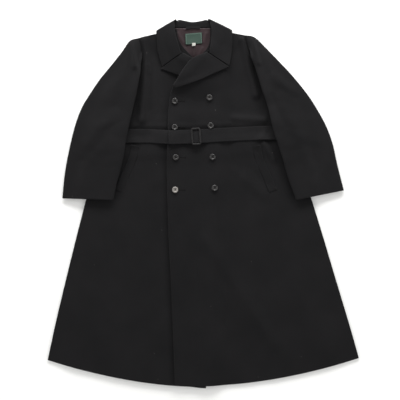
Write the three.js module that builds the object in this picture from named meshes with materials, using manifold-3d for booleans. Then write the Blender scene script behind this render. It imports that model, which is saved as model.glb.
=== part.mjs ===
// A long double-breasted coat, laid flat on its back with the belt closed.
// Millimetres. +Z is up, +Y runs to the collar, -X is the wearer's right side.
import * as THREE from "three";
import { mergeVertices } from "three/addons/utils/BufferGeometryUtils.js";
import Module from "manifold-3d";

const wasm = await Module();
wasm.setup();

// Cloth and the gaps between pieces
const CLOTH = 2.4;
const THIN_CLOTH = 1;
const GAP = 0.3;
const SEAM_GAP = 0.8;

// The coat as a whole
const HEM_DEPTH = 594;
const HEM_RISE = 85;
const HEM_HALF_WIDTH = 500;
const HEM_MIDDLE_X = -10;
const HEM_ROUNDNESS = 1.85;
const UNDER_FRONT_DROP = 3;
const NECK_Y = 567;
const NECK_MIDDLE_X = -33;

// How full the laid cloth stands
const FRONT_FULLNESS = 3;
const FULLNESS_RUN = 110;
const LAPEL_PUFF = 3;
const FOLD_RUN = 14;
const SLEEVE_AIR = 8;
const DRAPE_SLOPE = 0.25;

// Belt, buckle and buttons
const BELT_WIDTH = 44;
const BELT_THICKNESS = 2.6;
const BUCKLE_WIDTH = 31;
const BUCKLE_HEIGHT = 55;
const BUCKLE_BAND = 5;
const BUCKLE_THICKNESS = 3;
const BUCKLE_BAR = 4;
const BUCKLE_CORNER = 7;
const BUCKLE_HOLE_CORNER = 2;
const BUCKLE_BEVEL = 0.5;
const BELT_ROOM = 2;
const BUCKLE_TILT = THREE.MathUtils.degToRad(4);
const BUCKLE_X = -23;
const BUCKLE_Y = 214;
const BUTTON_RADIUS = 9.8;
const BUTTON_HEIGHT = 3.4;
const STUB_RADIUS = 3;
const STUB_HEIGHT = 1.2;

// Outer edge of each front, from the hem up the side and round the armhole to the shoulder,
// beside the front edge, roll line and neck edge at the same level
const UNDER_FRONT = [
  { outerX: -505, outerY: -511, innerX: 9, innerY: -596 },
  { outerX: -479, outerY: -390, innerX: 14, innerY: -420 },
  { outerX: -446, outerY: -251, innerX: 18, innerY: -251 },
  { outerX: -414, outerY: -121, innerX: 22, innerY: -121 },
  { outerX: -381, outerY: 9, innerX: 25, innerY: 9 },
  { outerX: -349, outerY: 139, innerX: 30, innerY: 139 },
  { outerX: -331, outerY: 212, innerX: 33, innerY: 212 },
  { outerX: -311, outerY: 285, innerX: 35, innerY: 300 },
  { outerX: -296, outerY: 340, innerX: 28, innerY: 368 },
  { outerX: -246, outerY: 386, innerX: -11, innerY: 431 },
  { outerX: -213, outerY: 428, innerX: -37, innerY: 466 },
  { outerX: -201, outerY: 464, innerX: -69, innerY: 486 },
  { outerX: -203, outerY: 500, innerX: -92, innerY: 520 },
  { outerX: -212, outerY: 534, innerX: -99, innerY: 560 },
];
const TOP_FRONT = [
  { outerX: 505, outerY: -511, innerX: -92, innerY: -592 },
  { outerX: 480, outerY: -420, innerX: -97, innerY: -446 },
  { outerX: 430, outerY: -251, innerX: -105, innerY: -251 },
  { outerX: 392, outerY: -121, innerX: -112, innerY: -121 },
  { outerX: 352, outerY: 9, innerX: -116, innerY: 9 },
  { outerX: 308, outerY: 139, innerX: -118, innerY: 139 },
  { outerX: 284, outerY: 212, innerX: -115, innerY: 212 },
  { outerX: 270, outerY: 288, innerX: -113, innerY: 300 },
  { outerX: 260, outerY: 338, innerX: -103, innerY: 364 },
  { outerX: 222, outerY: 386, innerX: -65, innerY: 423 },
  { outerX: 190, outerY: 424, innerX: -28, innerY: 467 },
  { outerX: 165, outerY: 464, innerX: 12, innerY: 489 },
  { outerX: 149, outerY: 503, innerX: 34, innerY: 520 },
  { outerX: 135, outerY: 543, innerX: 42, innerY: 561 },
];

// Shoulder and back neck line, from the wearer's right to the left
const SHOULDER_LINE = [
  { x: -212, y: 534 },
  { x: -99, y: 560 },
  { x: -80, y: 566 },
  { x: NECK_MIDDLE_X, y: NECK_Y },
  { x: 20, y: 566 },
  { x: 42, y: 561 },
  { x: 135, y: 543 },
];

// Each lapel from its break point at the front edge up to the collar: free edge, then roll line
const UNDER_LAPEL = [
  { outerX: 8, outerY: 377, innerX: 16, innerY: 389 },
  { outerX: -27, outerY: 388, innerX: -6, innerY: 425 },
  { outerX: -74, outerY: 409, innerX: -30, innerY: 461 },
  { outerX: -108, outerY: 423, innerX: -52, innerY: 475 },
  { outerX: -139, outerY: 434, innerX: -67, innerY: 483 },
];
const TOP_LAPEL = [
  { outerX: -92, outerY: 369, innerX: -98, innerY: 376 },
  { outerX: -59, outerY: 379, innerX: -84, innerY: 396 },
  { outerX: -12, outerY: 395, innerX: -65, innerY: 426 },
  { outerX: 38, outerY: 418, innerX: -36, innerY: 462 },
  { outerX: 83, outerY: 440, innerX: 13, innerY: 484 },
];

// Sleeves from the armhole to the cuff: outer edge and edge beside the body
const RIGHT_SLEEVE = [
  { outerX: -213, outerY: 535, innerX: -201, innerY: 446 },
  { outerX: -236, outerY: 525, innerX: -203, innerY: 418 },
  { outerX: -262, outerY: 491, innerX: -208, innerY: 390 },
  { outerX: -297, outerY: 447, innerX: -214, innerY: 358 },
  { outerX: -334, outerY: 402, innerX: -221, innerY: 327 },
  { outerX: -368, outerY: 352, innerX: -229, innerY: 292 },
  { outerX: -393, outerY: 310, innerX: -236, innerY: 262 },
  { outerX: -412, outerY: 262, innerX: -243, innerY: 230 },
  { outerX: -425, outerY: 215, innerX: -250, innerY: 194 },
  { outerX: -435, outerY: 171, innerX: -257, innerY: 150 },
  { outerX: -445, outerY: 120, innerX: -266, innerY: 112 },
  { outerX: -452, outerY: 70, innerX: -278, innerY: 67 },
  { outerX: -457, outerY: 14, innerX: -291, innerY: 9 },
];
const LEFT_SLEEVE = [
  { outerX: 136, outerY: 546, innerX: 149, innerY: 480 },
  { outerX: 164, outerY: 536, innerX: 154, innerY: 468 },
  { outerX: 197, outerY: 507, innerX: 164, innerY: 446 },
  { outerX: 240, outerY: 464, innerX: 172, innerY: 420 },
  { outerX: 286, outerY: 415, innerX: 181, innerY: 392 },
  { outerX: 322, outerY: 372, innerX: 190, innerY: 362 },
  { outerX: 350, outerY: 334, innerX: 201, innerY: 332 },
  { outerX: 375, outerY: 293, innerX: 212, innerY: 296 },
  { outerX: 395, outerY: 256, innerX: 220, innerY: 256 },
  { outerX: 411, outerY: 218, innerX: 230, innerY: 220 },
  { outerX: 423, outerY: 178, innerX: 243, innerY: 182 },
  { outerX: 431, outerY: 140, innerX: 257, innerY: 140 },
  { outerX: 443, outerY: 90, innerX: 272, innerY: 88 },
  { outerX: 456, outerY: 40, innerX: 300, innerY: 9 },
];

// Collar fall round the neck: roll edge, free edge and the side of the shoulder that it lies on
const COLLAR = [
  { rollX: -71, rollY: 482, edgeX: -133, edgeY: 441, side: "front" },
  { rollX: -82, rollY: 518, edgeX: -147, edgeY: 492, side: "front" },
  { rollX: -91, rollY: 555, edgeX: -150, edgeY: 528, side: "front" },
  { rollX: -93, rollY: 588, edgeX: -152, edgeY: 552, side: "front" },
  { rollX: -88, rollY: 595, edgeX: -152, edgeY: 558, side: "fold" },
  { rollX: -86, rollY: 591, edgeX: -149, edgeY: 553, side: "back" },
  { rollX: -78, rollY: 594, edgeX: -128, edgeY: 535, side: "back" },
  { rollX: -60, rollY: 591, edgeX: -88, edgeY: 518, side: "back" },
  { rollX: NECK_MIDDLE_X, rollY: 587, edgeX: NECK_MIDDLE_X, edgeY: 514, side: "back" },
  { rollX: -6, rollY: 591, edgeX: 22, edgeY: 518, side: "back" },
  { rollX: 10, rollY: 594, edgeX: 66, edgeY: 535, side: "back" },
  { rollX: 15, rollY: 592, edgeX: 90, edgeY: 556, side: "back" },
  { rollX: 17, rollY: 597, edgeX: 94, edgeY: 560, side: "fold" },
  { rollX: 21, rollY: 589, edgeX: 94, edgeY: 554, side: "front" },
  { rollX: 26, rollY: 555, edgeX: 94, edgeY: 526, side: "front" },
  { rollX: 24, rollY: 518, edgeX: 92, edgeY: 486, side: "front" },
  { rollX: 19, rollY: 482, edgeX: 84, edgeY: 443, side: "front" },
];
const COLLAR_STAND = [
  { outerX: -99, outerY: 577, innerX: -98, innerY: NECK_Y + SEAM_GAP },
  { outerX: -84, outerY: 588, innerX: -80, innerY: NECK_Y + SEAM_GAP },
  { outerX: -62, outerY: 588, innerX: -58, innerY: NECK_Y + SEAM_GAP },
  { outerX: NECK_MIDDLE_X, outerY: 583, innerX: NECK_MIDDLE_X, innerY: NECK_Y + SEAM_GAP },
  { outerX: -5, outerY: 587, innerX: -8, innerY: NECK_Y + SEAM_GAP },
  { outerX: 14, outerY: 587, innerX: 12, innerY: NECK_Y + SEAM_GAP },
  { outerX: 27, outerY: 577, innerX: 26, innerY: NECK_Y + SEAM_GAP },
];

// What shows inside the neck
const NECK_LINING = [
  { outerX: -70, outerY: 440, innerX: 10, innerY: 440 },
  { outerX: -86, outerY: 505, innerX: 20, innerY: 505 },
  { outerX: -92, outerY: 566, innerX: 25, innerY: 566 },
];
const RIGHT_FACING = [
  { outerX: -48, outerY: 452, innerX: -24, innerY: 460 },
  { outerX: -72, outerY: 472, innerX: -44, innerY: 482 },
  { outerX: -94, outerY: 496, innerX: -66, innerY: 506 },
  { outerX: -108, outerY: 530, innerX: -80, innerY: 532 },
  { outerX: -112, outerY: 555, innerX: -86, innerY: 564 },
];
const LEFT_FACING = [
  { outerX: 0, outerY: 446, innerX: -22, innerY: 458 },
  { outerX: 20, outerY: 466, innerX: -6, innerY: 480 },
  { outerX: 38, outerY: 492, innerX: 12, innerY: 500 },
  { outerX: 48, outerY: 524, innerX: 22, innerY: 528 },
  { outerX: 52, outerY: 552, innerX: 22, innerY: 564 },
];
const NECK_LABEL = [
  { outerX: -57, outerY: 512, innerX: -4, innerY: 516 },
  { outerX: -58, outerY: 547, innerX: -4, innerY: 552 },
];
const SIZE_TAG = [
  { outerX: -36, outerY: 507, innerX: -25, innerY: 508 },
  { outerX: -36, outerY: 517, innerX: -25, innerY: 518 },
];
const HANGER_LOOP = [
  { outerX: -57, outerY: 562, innerX: -57, innerY: 570 },
  { outerX: -34, outerY: 564, innerX: -34, innerY: 571 },
  { outerX: -10, outerY: 563, innerX: -10, innerY: 571 },
];

// Slanted pocket welts, from the bottom up: sewn edge and free edge
const RIGHT_POCKET = [
  { outerX: -262, outerY: 34, innerX: -288, innerY: 41 },
  { outerX: -243, outerY: 80, innerX: -268, innerY: 87 },
  { outerX: -217, outerY: 142, innerX: -242, innerY: 147 },
  { outerX: -208, outerY: 184, innerX: -233, innerY: 188 },
];
const LEFT_POCKET = [
  { outerX: 214, outerY: 34, innerX: 240, innerY: 41 },
  { outerX: 195, outerY: 80, innerX: 220, innerY: 87 },
  { outerX: 169, outerY: 142, innerX: 194, innerY: 147 },
  { outerX: 160, outerY: 184, innerX: 184, innerY: 188 },
];

// Middle line of the belt across the front, from the wearer's right side to the left
const BELT_FRONT = [
  { x: -332, y: 210 },
  { x: -248, y: 216 },
  { x: -173, y: 216 },
  { x: -102, y: 211 },
  { x: -24, y: 214 },
  { x: 54, y: 219 },
  { x: 119, y: 223 },
  { x: 191, y: 226 },
  { x: 282, y: 226 },
];
const BELT_BACK_Y = 214;
const BELT_TIP_X = -112;
const BELT_END_X = BUCKLE_X + 3;

const BUTTONS = [
  { x: -92, y: 329 },
  { x: -92, y: 244 },
  { x: -89, y: 147 },
  { x: -91, y: 42 },
  { x: 20, y: 340 },
  { x: 24, y: 249 },
  { x: 30, y: 148 },
  { x: 37, y: 48 },
];

// The largest folds, each a soft ridge along a line
const UNDER_FRONT_FOLDS = [
  { fromX: -192, fromY: 526, toX: -186, toY: 446, height: 9, width: 11 },
  { fromX: -186, fromY: 446, toX: -192, toY: 340, height: 9, width: 15 },
  { fromX: -192, fromY: 340, toX: -197, toY: 268, height: 9, width: 18 },
  { fromX: -163, fromY: 450, toX: -156, toY: 300, height: 2, width: 22 },
  { fromX: -173, fromY: 150, toX: -152, toY: 70, height: 2.5, width: 22 },
  { fromX: -300, fromY: -160, toX: -345, toY: -420, height: 2.5, width: 34 },
];
const TOP_FRONT_FOLDS = [
  { fromX: 10, fromY: -126, toX: 119, toY: -284, height: 5, width: 28 },
  { fromX: 119, fromY: -284, toX: 228, toY: -455, height: 5, width: 28 },
  { fromX: 134, fromY: 78, toX: 196, toY: 28, height: 4, width: 22 },
  { fromX: 98, fromY: 273, toX: 196, toY: 268, height: 7, width: 15 },
  { fromX: 126, fromY: 528, toX: 146, toY: 446, height: 9, width: 11 },
  { fromX: 146, fromY: 446, toX: 170, toY: 350, height: 9, width: 15 },
];
const RIGHT_SLEEVE_FOLDS = [
  { fromX: -282, fromY: 282, toX: -336, toY: 240, height: 4, width: 20 },
  { fromX: -336, fromY: 240, toX: -398, toY: 160, height: 3.5, width: 20 },
  { fromX: -270, fromY: 420, toX: -300, toY: 340, height: 3, width: 24 },
];
const LEFT_SLEEVE_FOLDS = [
  { fromX: 225, fromY: 404, toX: 292, toY: 366, height: 3.5, width: 20 },
  { fromX: 244, fromY: 340, toX: 284, toY: 250, height: 2.5, width: 20 },
  { fromX: 352, fromY: 268, toX: 366, toY: 205, height: 3.5, width: 20 },
  { fromX: 400, fromY: 130, toX: 372, toY: 66, height: 2.5, width: 20 },
];

// The pile holds the height of the topmost cloth over a grid of square cells
const CELL = 4;
const PILE_HALF_WIDTH = 560;
const PILE_HALF_LENGTH = 640;
const CELLS_ACROSS = Math.ceil(2 * PILE_HALF_WIDTH / CELL);
const CELLS_ALONG = Math.ceil(2 * PILE_HALF_LENGTH / CELL);
const TALLEST_STEP = 12;
const pile = new Float32Array(CELLS_ACROSS * CELLS_ALONG);

function cellColumn(x) {
  return Math.floor((x + PILE_HALF_WIDTH) / CELL);
}

function cellRow(y) {
  return Math.floor((y + PILE_HALF_LENGTH) / CELL);
}

function raisePile(point) {
  const index = cellRow(point.y) * CELLS_ACROSS + cellColumn(point.x);
  pile[index] = Math.max(pile[index], point.z);
}

// Lays a surface, given as rows of points, on the pile
function lay(surface) {
  const point = new THREE.Vector3();
  const other = new THREE.Vector3();
  for (let row = 0; row + 1 < surface.length; row++) {
    for (let column = 0; column + 1 < surface[row].length; column++) {
      const near = [surface[row][column], surface[row][column + 1]];
      const far = [surface[row + 1][column], surface[row + 1][column + 1]];
      const lengths = [near[0].distanceTo(near[1]), near[0].distanceTo(far[0]), near[1].distanceTo(far[1])];
      const steps = Math.ceil(2 * Math.max(...lengths) / CELL);
      for (let across = 0; across <= steps; across++) {
        for (let along = 0; along <= steps; along++) {
          point.lerpVectors(near[0], near[1], across / steps);
          other.lerpVectors(far[0], far[1], across / steps);
          raisePile(point.lerp(other, along / steps));
        }
      }
    }
  }
}

// Height of the pile that a piece at this point has to clear: level within reach, sloping off
// beyond it
function pileTop(x, y, reach, slope = DRAPE_SLOPE) {
  const farthest = reach + CELL + TALLEST_STEP / slope;
  const span = Math.ceil(farthest / CELL);
  let top = 0;
  for (let row = cellRow(y) - span; row <= cellRow(y) + span; row++) {
    for (let column = cellColumn(x) - span; column <= cellColumn(x) + span; column++) {
      const height = pile[row * CELLS_ACROSS + column] || 0;
      if (height > top) {
        const cellX = (column + 0.5) * CELL - PILE_HALF_WIDTH;
        const cellY = (row + 0.5) * CELL - PILE_HALF_LENGTH;
        const beyond = Math.max(0, Math.hypot(cellX - x, cellY - y) - reach - CELL * Math.SQRT1_2);
        top = Math.max(top, height - beyond * slope);
      }
    }
  }
  return top;
}

// Longest distance on the floor from one point of a grid to its neighbours
function neighbourReach(grid, row, column) {
  const point = grid[row][column];
  let reach = 0;
  for (let i = Math.max(0, row - 1); i <= Math.min(grid.length - 1, row + 1); i++) {
    for (let j = Math.max(0, column - 1); j <= Math.min(grid[i].length - 1, column + 1); j++) {
      reach = Math.max(reach, Math.hypot(grid[i][j].x - point.x, grid[i][j].y - point.y));
    }
  }
  return reach;
}

function curveThrough(table, xName, yName) {
  const points = table.map((row) => new THREE.Vector3(row[xName], row[yName], 0));
  return new THREE.CatmullRomCurve3(points, false, "centripetal");
}

function lineHeight(line, x) {
  const found = line.findIndex((point) => point.x >= x);
  const next = found < 0 ? line.length - 1 : Math.max(1, found);
  const to = line[next];
  const from = line[next - 1];
  return THREE.MathUtils.mapLinear(x, from.x, to.x, from.y, to.y);
}

function hemLine(x) {
  return -HEM_DEPTH + HEM_RISE * Math.abs((x - HEM_MIDDLE_X) / HEM_HALF_WIDTH) ** HEM_ROUNDNESS;
}

// Height of the folds at a point: each is a bell across its line that fades at both ends
function foldHeight(folds, x, y) {
  let height = 0;
  for (const fold of folds) {
    const from = new THREE.Vector2(fold.fromX, fold.fromY);
    const along = new THREE.Vector2(fold.toX, fold.toY).sub(from);
    const offset = new THREE.Vector2(x, y).sub(from);
    const share = offset.dot(along) / along.lengthSq();
    const outside = Math.max(0, -share, share - 1) * along.length();
    const across = Math.abs(offset.cross(along)) / along.length();
    const fade = Math.exp(-((across / fold.width) ** 2) - (outside / fold.width) ** 2);
    height = Math.max(height, fold.height * fade);
  }
  return height;
}

// A closed wall between two grids of points, open at its four borders or joined round in a ring
function wallGeometry(lower, upper, ring = false) {
  const rows = lower.length;
  const columns = lower[0].length;
  const positions = [...lower.flat(), ...upper.flat()].flatMap((point) => point.toArray());
  const indices = [];
  const quad = (a, b, c, d) => indices.push(a, b, c, a, c, d);
  const bottom = (row, column) => row * columns + column % columns;
  const top = (row, column) => rows * columns + bottom(row, column);
  const lastColumn = ring ? columns : columns - 1;
  for (let row = 0; row + 1 < rows; row++) {
    for (let column = 0; column < lastColumn; column++) {
      const next = column + 1;
      quad(top(row, column), top(row, next), top(row + 1, next), top(row + 1, column));
      quad(bottom(row, column), bottom(row + 1, column), bottom(row + 1, next), bottom(row, next));
    }
    if (!ring) {
      quad(bottom(row, 0), top(row, 0), top(row + 1, 0), bottom(row + 1, 0));
      const side = lastColumn;
      quad(bottom(row + 1, side), top(row + 1, side), top(row, side), bottom(row, side));
    }
  }
  for (let column = 0; column < lastColumn; column++) {
    const end = rows - 1;
    quad(bottom(0, column + 1), top(0, column + 1), top(0, column), bottom(0, column));
    quad(bottom(end, column), top(end, column), top(end, column + 1), bottom(end, column + 1));
  }
  const geometry = new THREE.BufferGeometry();
  geometry.setAttribute("position", new THREE.Float32BufferAttribute(positions, 3));
  geometry.setIndex(indices);
  return facingOut(geometry);
}

function signedVolume(geometry) {
  const [a, b, c] = [new THREE.Vector3(), new THREE.Vector3(), new THREE.Vector3()];
  let volume = 0;
  for (let i = 0; i < geometry.index.count; i += 3) {
    a.fromBufferAttribute(geometry.attributes.position, geometry.index.getX(i));
    b.fromBufferAttribute(geometry.attributes.position, geometry.index.getX(i + 1));
    c.fromBufferAttribute(geometry.attributes.position, geometry.index.getX(i + 2));
    volume += a.dot(b.cross(c)) / 6;
  }
  return volume;
}

function facingOut(geometry) {
  if (signedVolume(geometry) < 0) {
    geometry.index.array.reverse();
  }
  geometry.computeVertexNormals();
  return geometry;
}

function raised(grid, height) {
  return grid.map((row) => row.map((point) => point.clone().setZ(point.z + height)));
}

// Evenly spaced points from one point to another
function rowBetween(from, to, columns) {
  return Array.from({ length: columns }, (_, column) => (
    new THREE.Vector3().lerpVectors(from, to, column / (columns - 1))
  ));
}

// Rows of points from one curve to another
function gridBetween(from, to, rows, columns) {
  return Array.from({ length: rows }, (_, row) => (
    rowBetween(from.getPoint(row / (rows - 1)), to.getPoint(row / (rows - 1)), columns)
  ));
}

// Flat grid of a panel between its two edges, before it is laid
function panelGrid(levels, rows, columns) {
  const outer = curveThrough(levels, "outerX", "outerY");
  const inner = curveThrough(levels, "innerX", "innerY");
  return gridBetween(outer, inner, rows, columns);
}

// Bends the end row of a panel to a line, and the rows beside it less and less
function bendEnd(grid, endRow, run, line) {
  const shifts = grid[endRow].map((point) => line(point.x) - point.y);
  const rows = grid.length - 1;
  return grid.map((points, row) => {
    const share = 1 - THREE.MathUtils.smoothstep(Math.abs(row - endRow) / rows, 0, run);
    return points.map((point, column) => point.clone().setY(point.y + share * shifts[column]));
  });
}

// Rests a flat grid on the pile with air below it, and gives its lower side
function drape(grid, air = () => 0) {
  return grid.map((points, row) => points.map((point, column) => {
    const reach = neighbourReach(grid, row, column);
    const height = pileTop(point.x, point.y, reach) + GAP + air(point, row, column);
    return point.clone().setZ(height);
  }));
}

const coat = new THREE.Group();

function addPiece(name, geometry, material) {
  const mesh = new THREE.Mesh(geometry, material);
  mesh.name = name;
  coat.add(mesh);
}

function addPanel(name, lower, thickness, material) {
  const upper = raised(lower, thickness);
  addPiece(name, wallGeometry(lower, upper), material);
  return upper;
}

function clothMaterial(color) {
  return new THREE.MeshStandardMaterial({ color, roughness: 0.9, metalness: 0 });
}

const COAT_CLOTH = "#262526";
const LINING_CLOTH = "#4a3133";
const LABEL_CLOTH = "#3f564d";
const TAG_CLOTH = "#d8d8d2";
const HORN = "#2b2829";
const PALE_HORN = "#c9c5c2";
const BUCKLE_SHELL = "#1f1d1e";

// Collar fall: a sheet that lies on the fronts, turns round the shoulders and runs on under the back
const COLLAR_TURN_STEPS = 6;
const COLLAR_COLUMNS = 5;

function collarRow(station) {
  const roll = new THREE.Vector3(station.rollX, station.rollY, 0);
  const edge = new THREE.Vector3(station.edgeX, station.edgeY, 0);
  return rowBetween(roll, edge, COLLAR_COLUMNS);
}

const collarBack = raised(COLLAR.filter((station) => station.side === "back").map(collarRow), CLOTH);
lay(collarBack);

// Belt across the back, under the coat
const BELT_BACK_STATIONS = 16;
const BELT_COLUMNS = 3;
const SIDE_SLOPE = 0.28;
const SIDE_RUN = 80;
const beltRightX = BELT_FRONT[0].x;
const beltLeftX = BELT_FRONT.at(-1).x;

// Points across the belt, slanted near the sides as the side seams are
function beltRow(x, y, z) {
  const nearSide = THREE.MathUtils.smoothstep(Math.abs(x), beltLeftX - SIDE_RUN, beltLeftX);
  return Array.from({ length: BELT_COLUMNS }, (_, column) => {
    const across = BELT_WIDTH * (column / (BELT_COLUMNS - 1) - 0.5);
    return new THREE.Vector3(x - Math.sign(x) * SIDE_SLOPE * nearSide * across, y + across, z);
  });
}

function between(from, to, steps, makeRow) {
  return Array.from({ length: steps + 1 }, (_, step) => (
    makeRow(THREE.MathUtils.lerp(from, to, step / steps))
  ));
}

const beltMiddleY = (x) => lineHeight(BELT_FRONT, x);
function beltBackY(x) {
  const sideY = beltMiddleY(x < 0 ? beltRightX : beltLeftX);
  return THREE.MathUtils.lerp(BELT_BACK_Y, sideY, THREE.MathUtils.smoothstep(Math.abs(x), 0, beltLeftX));
}

const beltBack = between(beltRightX, beltLeftX, BELT_BACK_STATIONS, (x) => beltRow(x, beltBackY(x), 0));
lay(raised(beltBack, BELT_THICKNESS));

// Collar stand: laid on the collar before the back, whose neck edge it meets
const STAND_ROWS = 14;
const STAND_COLUMNS = 4;
const stand = drape(panelGrid(COLLAR_STAND, STAND_ROWS, STAND_COLUMNS));

// Back: one wide panel from shoulder line to hem
const BACK_ROWS = 27;
const BACK_COLUMNS = 12;
const BACK_LEVELS = UNDER_FRONT.map((level, index) => ({
  outerX: level.outerX,
  outerY: level.outerY,
  innerX: TOP_FRONT[index].outerX,
  innerY: TOP_FRONT[index].outerY,
}));
const HEM_RUN = 0.3;
const SHOULDER_RUN = 0.04;
const shoulderLine = (x) => lineHeight(SHOULDER_LINE, x);
const flatBack = bendEnd(panelGrid(BACK_LEVELS, BACK_ROWS, BACK_COLUMNS), 0, HEM_RUN, hemLine);
const backGrid = bendEnd(flatBack, BACK_ROWS - 1, SHOULDER_RUN, shoulderLine);
const backLower = drape(backGrid).map((row) => row.map((point) => (
  point.z <= GAP ? point.setZ(0) : point
)));
const backTop = addPanel("back", backLower, CLOTH, clothMaterial(COAT_CLOTH));
lay(backTop);
lay(addPanel("collar_stand", stand, CLOTH, clothMaterial(COAT_CLOTH)));

// Inside of the neck
function addSmallPanel({ name, levels, rows, columns, thickness, color }) {
  const lower = drape(panelGrid(levels, rows, columns));
  lay(addPanel(name, lower, thickness, clothMaterial(color)));
}

const facing = { rows: 9, columns: 3, thickness: CLOTH / 2, color: COAT_CLOTH };
const lining = { rows: 10, columns: 9, thickness: THIN_CLOTH, color: LINING_CLOTH };
const label = { rows: 6, columns: 7, thickness: THIN_CLOTH, color: LABEL_CLOTH };
const tag = { rows: 4, columns: 4, thickness: THIN_CLOTH / 2, color: TAG_CLOTH };
const loop = { rows: 7, columns: 3, thickness: THIN_CLOTH, color: COAT_CLOTH };
const neckPanels = [
  { name: "lining_back", levels: NECK_LINING, ...lining },
  { name: "facing_right", levels: RIGHT_FACING, ...facing },
  { name: "facing_left", levels: LEFT_FACING, ...facing },
  { name: "neck_label", levels: NECK_LABEL, ...label },
  { name: "size_tag", levels: SIZE_TAG, ...tag },
  { name: "hanger_loop", levels: HANGER_LOOP, ...loop },
];
neckPanels.forEach(addSmallPanel);

// Fronts: full in the middle, flat where they meet the back at the sides and armholes
const FRONT_ROWS = 34;
const FRONT_COLUMNS = 18;
const MID_AIR = 0.5;

function frontAir(grid, folds, fullness) {
  return (point, row) => {
    const fromEdge = point.distanceTo(grid[row][0]);
    const full = fullness * THREE.MathUtils.smoothstep(fromEdge, 0, FULLNESS_RUN);
    return full + foldHeight(folds, point.x, point.y) * THREE.MathUtils.smoothstep(fromEdge, 0, FOLD_RUN);
  };
}

// The under front hangs a little lower, most at its front edge
function underHemLine(x) {
  return hemLine(x) - UNDER_FRONT_DROP * (1 - THREE.MathUtils.smoothstep(-x, 0, HEM_HALF_WIDTH));
}

function addFront(name, levels, hem, folds, fullness) {
  const grid = bendEnd(panelGrid(levels, FRONT_ROWS, FRONT_COLUMNS), 0, HEM_RUN, hem);
  const lower = drape(grid, frontAir(grid, folds, fullness));
  lay(addPanel(name, lower, CLOTH, clothMaterial(COAT_CLOTH)));
}

// Lapels: turned back on the fronts, puffed at the roll line
function addLapel(name, levels, rows, columns) {
  const grid = panelGrid(levels, rows, columns);
  const puff = (point, row, column) => {
    const across = Math.sin(Math.PI * (column / (columns - 1)) ** 2);
    return LAPEL_PUFF * across * row / (rows - 1);
  };
  lay(addPanel(name, drape(grid, puff), CLOTH, clothMaterial(COAT_CLOTH)));
}

addFront("front_right", UNDER_FRONT, underHemLine, UNDER_FRONT_FOLDS, FRONT_FULLNESS);
addLapel("lapel_right", UNDER_LAPEL, 11, 7);
addFront("front_left", TOP_FRONT, hemLine, TOP_FRONT_FOLDS, MID_AIR);
addLapel("lapel_left", TOP_LAPEL, 14, 8);

// The collar leaves lie on the lapels; half circles round the shoulders join them to the part below
function collarTurn(frontRow, foldRow, backRow, steps) {
  const rows = [];
  for (let step = 1; step < steps; step++) {
    const angle = Math.PI * step / steps;
    rows.push(foldRow.map((point, column) => {
      const high = frontRow[column].z;
      const low = backRow[column].z;
      const radius = (high - low) / 2;
      const start = angle < Math.PI / 2 ? frontRow[column] : backRow[column];
      const share = Math.sin(angle);
      const position = new THREE.Vector3().lerpVectors(start, point, share);
      return position.setZ(low + radius * (1 + Math.cos(angle)));
    }));
  }
  return rows;
}

const COLLAR_CENTRE = new THREE.Vector3(NECK_MIDDLE_X, 530, 0);
const COLLAR_LEAF_ROWS = 9;
const COLLAR_BACK_ROWS = 9;

function collarStretch(stations, rows) {
  const roll = curveThrough(stations, "rollX", "rollY");
  const edge = curveThrough(stations, "edgeX", "edgeY");
  return gridBetween(roll, edge, rows, COLLAR_COLUMNS);
}

const foldStations = COLLAR.filter((station) => station.side === "fold");
const firstBack = COLLAR.findIndex((station) => station.side === "back");
const rightLeafStations = COLLAR.slice(0, firstBack - 1);
const backStations = COLLAR.filter((station) => station.side === "back");
const leftLeafStations = COLLAR.slice(firstBack + backStations.length + 1);
const rightLeaf = drape(collarStretch(rightLeafStations, COLLAR_LEAF_ROWS));
const leftLeaf = drape(collarStretch(leftLeafStations, COLLAR_LEAF_ROWS));
const backFall = collarStretch(backStations, COLLAR_BACK_ROWS);

// The side of the collar that faces the coat, and the same side moved out by the cloth
function collarSide(offset) {
  const right = raised(rightLeaf, offset);
  const left = raised(leftLeaf, offset);
  const back = raised(backFall, CLOTH - offset);
  const grow = offset === 0 ? -CLOTH : 0;
  const folds = foldStations.map(collarRow).map((row) => row.map((point, column) => {
    const outward = point.clone().sub(COLLAR_CENTRE).normalize();
    return point.clone().addScaledVector(outward, grow);
  }));
  return [
    ...right,
    ...collarTurn(right.at(-1), folds[0], back[0], COLLAR_TURN_STEPS),
    ...back,
    ...collarTurn(left[0], folds[1], back.at(-1), COLLAR_TURN_STEPS).reverse(),
    ...left,
  ];
}

const collarOuter = collarSide(CLOTH);
addPiece("collar", wallGeometry(collarSide(0), collarOuter), clothMaterial(COAT_CLOTH));
lay(raised(rightLeaf, CLOTH));
lay(raised(leftLeaf, CLOTH));

// Buttons: a dished disc with a raised rim, on a stub of thread that reaches down to the cloth
const BUTTON_DISH = 1.3;
const BUTTON_DISC = [
  { radius: 8.8, height: 0 },
  { radius: BUTTON_RADIUS, height: 1.2 },
  { radius: 8.8, height: BUTTON_HEIGHT },
  { radius: 7.2, height: BUTTON_HEIGHT - 0.1 },
  { radius: 6, height: BUTTON_HEIGHT - 1.2 },
  { radius: 0, height: BUTTON_HEIGHT - BUTTON_DISH },
];
const BUTTON_SEGMENTS = 12;
const PALE_BUTTON = 4;
const STEEP = 5;

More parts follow.
